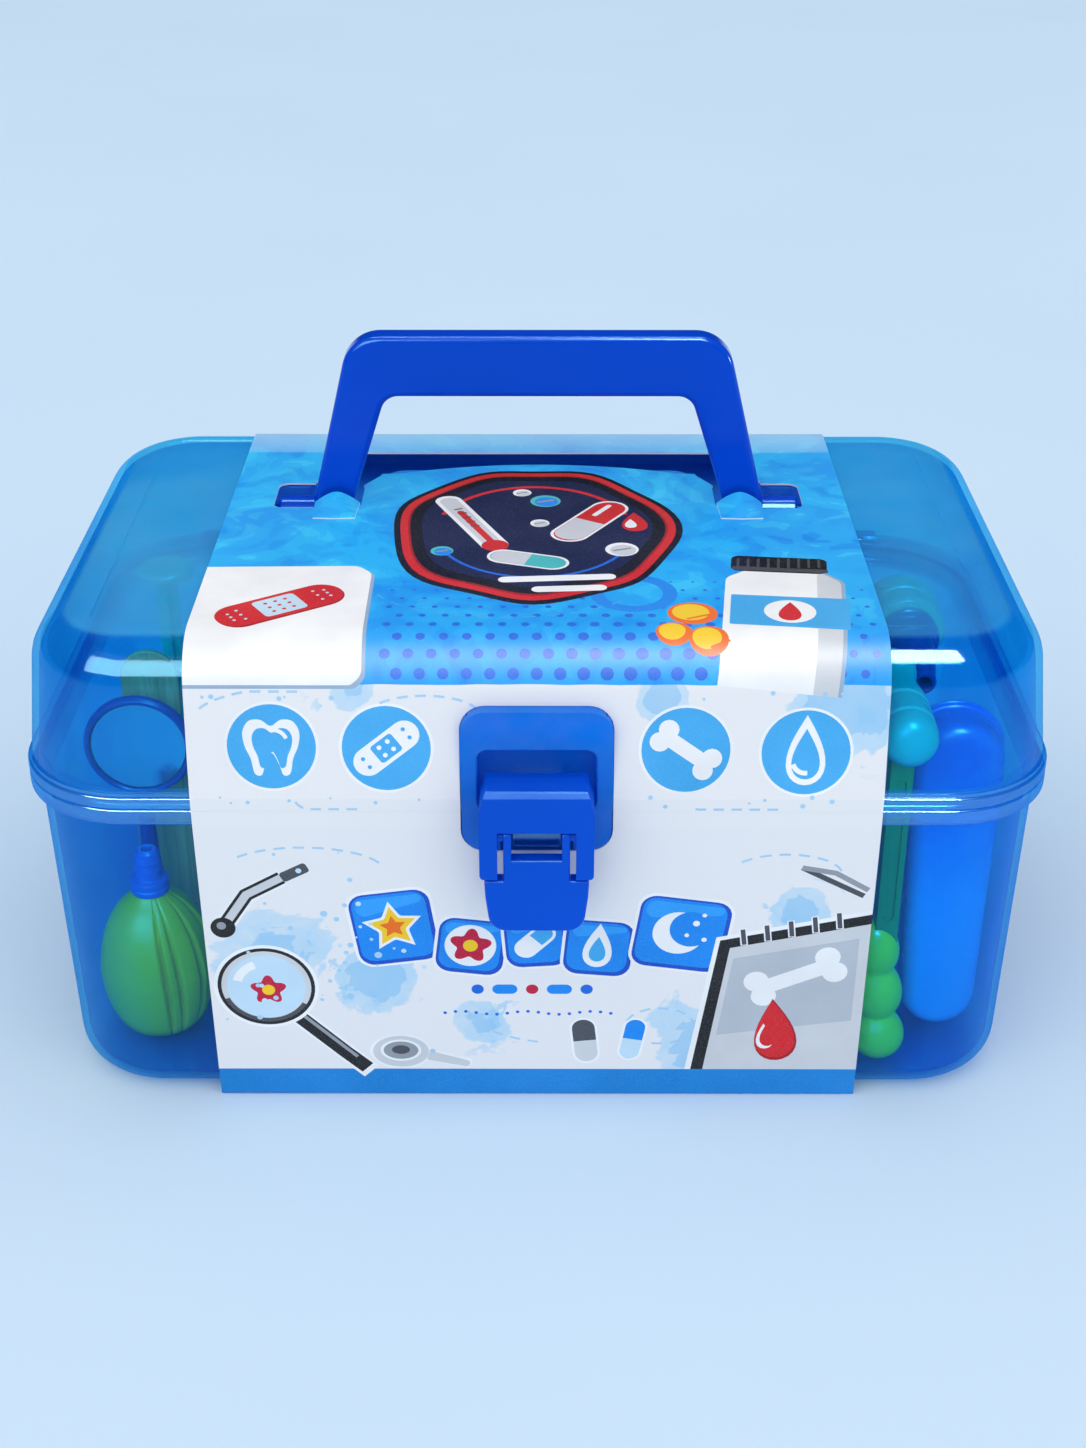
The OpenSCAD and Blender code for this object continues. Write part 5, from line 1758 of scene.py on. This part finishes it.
def make_hammer():
    cx, cy = 91.6, -61.0
    # grip: three lobes one above the other, the lowest one the widest
    pts = [(0.3, FLOOR + 0.1)]
    for i in range(1, 60):
        u = i / 60
        z = FLOOR + 0.1 + 42.9 * u
        lobes = []
        for zc, r, hh in ((9.9, 7.5, 7.6), (23.8, 6.9, 9.0), (37.2, 6.1, 8.2)):
            q = 1 - ((z - zc) / hh) ** 2
            lobes.append(r * math.sqrt(q) if q > 0 else 0.0)
        r = max(lobes)
        s = sum(x ** 6 for x in lobes) ** (1 / 6)
        r = max(r, s * 0.995)
        pts.append((max(0.6, r), z))
    pts.append((0.3, FLOOR + 43.05))
    grip = turned("grip", lambda x, y, t: (cx + x + 0.5 - 2.6 * (t - 9.9) / 35.0, cy + y, t), pts, 64, lambda a, t: 1 + 0.012 * cos(a * 2))
    boolean(grip, box("socket", cx - 2.62, cx + 3.42, cy - 2.52, cy + 2.52, FLOOR + 38, FLOOR + 60))
    toy(grip, "hammer_grip_green", [M_GREEN], "tub", "hammer_grip", 40)
    # stem: flat bar with a raised rib on both faces
    stem = prism("stem", [(89.05, -63.4), (94.95, -63.4), (94.95, -58.6), (89.05, -58.6)], "z", edge_stations(FLOOR + 38.1, 97.7, 0.4, 3))
    cut = [prism("flute", round_poly([(90.6, FLOOR + 45), (93.4, FLOOR + 45), (93.4, 90), (90.6, 90)], 1.3, 5), "y", [(y0, 0), (y1, 0)]) for y0, y1 in ((-64.5, -62.5), (-59.5, -57.5))]
    boolean(stem, cut)
    toy(stem, "hammer_stem_green", [M_DGREEN], "tub", "hammer_stem", 34, bevel=0.5)
    prof = [(0.3, -74.2), (2.2, -74.1), (4.4, -73.4), (6.1, -72.0), (7.0, -70.0), (7.25, -67.6), (7.25, -66.6), (6.6, -66.2), (6.6, -65.2), (7.25, -64.8), (7.25, -57.2), (6.6, -56.8), (6.6, -55.8), (7.25, -55.4),
            (7.0, -51.0), (6.2, -46.0), (5.9, -42.0), (6.3, -38.5), (6.9, -36.0), (7.2, -33.6), (6.6, -31.4), (5.2, -30.2), (2.6, -29.8), (0.3, -29.75)]
    head = turned("head", forward(92.0, 105.0), prof, 56)
    boolean(head, box("seat", 88, 96, -64, -58, 90, 97.99))
    toy(head, "hammer_head_teal", [M_TEAL], "tub", "hammer_head", 34)


def make_dish():
    cx = 109.9

    def stad(w, z0, z1, n=18):
        r = w / 2
        return [(cx + r * cos(t), z1 - r + r * sin(t)) for t in [math.pi * i / n for i in range(n + 1)]] + [(cx - r * cos(t), z0 + r - r * sin(t)) for t in [math.pi * i / n for i in range(n + 1)]]
    # the outline narrows towards the floor
    (ax, az, ar), (bx, bz, br) = (109.3, 98.4 - 12.25, 12.25), (110.6, FLOOR + 1.6 + 10.0, 10.0)
    dist = math.hypot(bx - ax, bz - az)
    tilt = math.atan2(bz - az, bx - ax)
    half = math.acos((ar - br) / dist)
    base = [(ax + ar * cos(a), az + ar * sin(a)) for a in [tilt + half + (2 * math.pi - 2 * half) * i / 26 for i in range(27)]]
    base += [(bx + br * cos(a), bz + br * sin(a)) for a in [tilt - half + 2 * half * i / 22 for i in range(23)]]
    base = ccw(base)
    st = []
    for i in range(6):      # inner floor and its fillet
        a = i / 5 * math.pi / 2
        st.append((-50.4 + 3.0 * (1 - cos(a)), -1.6 - 3.0 * (1 - sin(a))))
    st += [(-44.0, -1.6), (-40.0, -1.6), (-38.6, -1.55), (-38.25, -1.3), (-38.05, -0.8), (-38.0, -0.2), (-38.05, 0.7), (-38.25, 1.2), (-38.6, 1.5), (-39.1, 1.52), (-39.4, 1.3), (-39.45, 0.5), (-39.8, 0.1), (-40.4, 0.0), (-44.0, 0.0)]
    for i in range(6, -1, -1):
        a = i / 6 * math.pi / 2
        st.append((-52.0 + 4.2 * (1 - cos(a)), -4.2 * (1 - sin(a))))
    rings = [[(u, y, v) for u, v in offset(base, d)] for y, d in st]
    ob = loft("dish", rings)
    # two low ribs pressed into the floor
    rib = [prism("rib", ccw([(x, z) for x, z in stad(3.0, z0, z1)]), "y", [(-51.0, 0.4), (-50.1, 0.4), (-49.8, 0.25), (-49.65, -0.1)]) for z0, z1 in ((20, 47), (54, 81))]
    boolean(ob, rib, "UNION")
    toy(ob, "kidney_dish_blue", [M_DISH], "tub", "kidney_dish", 36)


def make_otoscope():
    cx, cy = 104.0, 16.0
    h = [(0.3, FLOOR), (7.0, FLOOR), (8.0, FLOOR + 1.0), (8.0, FLOOR + 6.0), (7.6, FLOOR + 6.4), (7.6, FLOOR + 7.4), (8.0, FLOOR + 7.8)]
    for i in range(8):
        z = FLOOR + 14 + i * 4.2
        h += [(8.0, z), (7.5, z + 0.6), (7.5, z + 1.2), (8.0, z + 1.8)]
    h += [(8.0, FLOOR + 56), (7.4, FLOOR + 57), (7.4, FLOOR + 58.4), (8.0, FLOOR + 59.4), (8.0, FLOOR + 73.6), (7.2, FLOOR + 75.6), (5.2, FLOOR + 85.4), (0.3, FLOOR + 86.0)]
    ob = turned("body", upright(cx, cy), rounded_profile(h, 0.35, 2), 48)
    head = turned("head", forward(cx, 96.0), rounded_profile([(0.3, 8.0), (8.8, 8.0), (10.2, 8.6), (11.0, 10.0), (11.0, 15.4), (10.5, 15.8), (10.5, 16.8), (11.0, 17.2), (11.0, 24.4), (10.4, 26.0), (8.9, 26.0), (8.3, 25.4), (8.1, 24.2), (5.0, 24.6), (0.3, 24.9)], [0, 0.6, 0.8, 0.6, 0.2, 0.2, 0.2, 0.2, 0.8, 0.5, 0.4, 0.3, 0.3, 1.0, 0], 3), 64)
    knob = turned("knob", lambda x, y, t: (cx + x, cy + t, FLOOR + 66 + y), [(0.3, -5), (3.1, -5), (3.1, -8.6), (2.6, -9.1), (0.3, -9.2)], 32)
    boolean(ob, [head, knob], "UNION")
    toy(ob, "otoscope_body_teal", [M_TEAL], "tub", "otoscope_body", 36)
    prof = [(0.3, 7.98), (8.0, 7.98), (8.5, 7.5), (8.5, 6.6), (8.1, 6.2), (8.1, 5.6), (8.5, 5.2), (8.5, 4.4), (7.7, 4.0), (7.5, 3.8), (6.9, 0.0), (6.9, -0.8), (6.3, -1.2), (5.2, -8.6), (4.2, -15.4), (3.3, -20.6), (3.4, -21.2), (3.0, -22.0), (2.2, -22.0), (2.0, -21.0), (2.0, -12.0), (0.3, -12.0)]
    cone = turned("cone", forward(cx, 96.0), prof, 48)
    toy(cone, "otoscope_cone_blue", [M_NAVY], "tub", "otoscope_cone", 34)


make_bulb()
make_mirror()
make_spatula()
make_syringe()
make_hammer()
make_dish()
make_otoscope()

# ------------------------------------------------------------------ stage, light
def make_stage():
    k = Nodes("floor_paper")
    n = k.noise(3.0, 3.0, 0.5)
    f = k.noise(700.0, 2.0, 0.5)
    c = k.mix(k.rangemap(n, 0.3, 0.7), lin(200, 224, 246), lin(203, 227, 248))
    m = k.finish(k.principled(c, 0.9, k.bump(f, 0.03, 0.0002), Specular_IOR_Level=0.1))
    fl = prism("studio_floor", circle(0, 2000, 9000, 96), "z", [(-6.0, 0), (-0.02, 0)], [m])
    w = bpy.data.worlds.new("sky")
    scene.world = w
    w.use_nodes = True
    bg = w.node_tree.nodes["Background"]
    bg.inputs["Color"].default_value = (0.975, 0.99, 1.0, 1)
    bg.inputs["Strength"].default_value = 0.94
    w.cycles_visibility.glossy = False
    return fl


def area(name, loc, target, size, power, color=(1, 1, 1), diffuse=True, glossy=True):
    li = bpy.data.lights.new(name, "AREA")
    li.shape = "RECTANGLE"
    li.size, li.size_y = size
    li.energy = power
    li.color = color
    ob = link(bpy.data.objects.new(name, li))
    ob.location = loc
    d = Vector(target) - Vector(loc)
    ob.rotation_mode = "QUATERNION"
    ob.rotation_quaternion = d.to_track_quat("-Z", "Y")
    ob.visible_diffuse = diffuse
    ob.visible_glossy = glossy
    ob.visible_camera = False
    return ob


make_stage()
area("key", (-0.9, -1.3, 1.9), (0, 0, 0.05), (1.6, 1.2), 6, (1.0, 0.985, 0.96))
area("fill", (1.3, -1.5, 1.2), (0, 0, 0.05), (1.2, 1.2), 3, (1.0, 0.99, 0.97), glossy=False)
area("strip_right", (0.24, -0.53, 1.2), (0.1, -0.07, 0.13), (0.36, 0.56), 46, diffuse=False)
area("strip_left", (-0.55, -0.85, 0.85), (-0.1, -0.07, 0.13), (0.9, 0.7), 34, diffuse=False)
# the toys inside get their own soft light, as the tinted walls swallow most of the rest
inner = area("toy_light", (0.0, -1.3, 1.0), (0, 0, 0.05), (1.2, 1.0), 19, glossy=False)
inner.light_linking.receiver_collection = TOYS
inner.light_linking.blocker_collection = TOYS
# thin highlight lines on the rounded edges of the handle and the latch
SHINY = bpy.data.collections.new("shiny_parts")
for name in ("carry_handle", "latch_hood_shell", "latch_lever_body"):
    for ob in list(bpy.data.objects):
        if ob.type == "MESH" and ob.name.startswith(name):
            SHINY.objects.link(ob)
for li in (area("edge_over", (0.0, 0.30, 1.3), (0, 0.0, 0.13), (0.9, 0.16), 15, diffuse=False),
           area("edge_right", (1.3, -0.25, 0.32), (0, 0.0, 0.16), (0.25, 0.22), 9, diffuse=False)):
    li.light_linking.receiver_collection = SHINY
scene.view_settings.view_transform = "Standard"
scene.view_settings.look = "None"
scene.view_settings.exposure = 0.0
scene.cycles.transparent_max_bounces = 20
scene.cycles.caustics_reflective = False
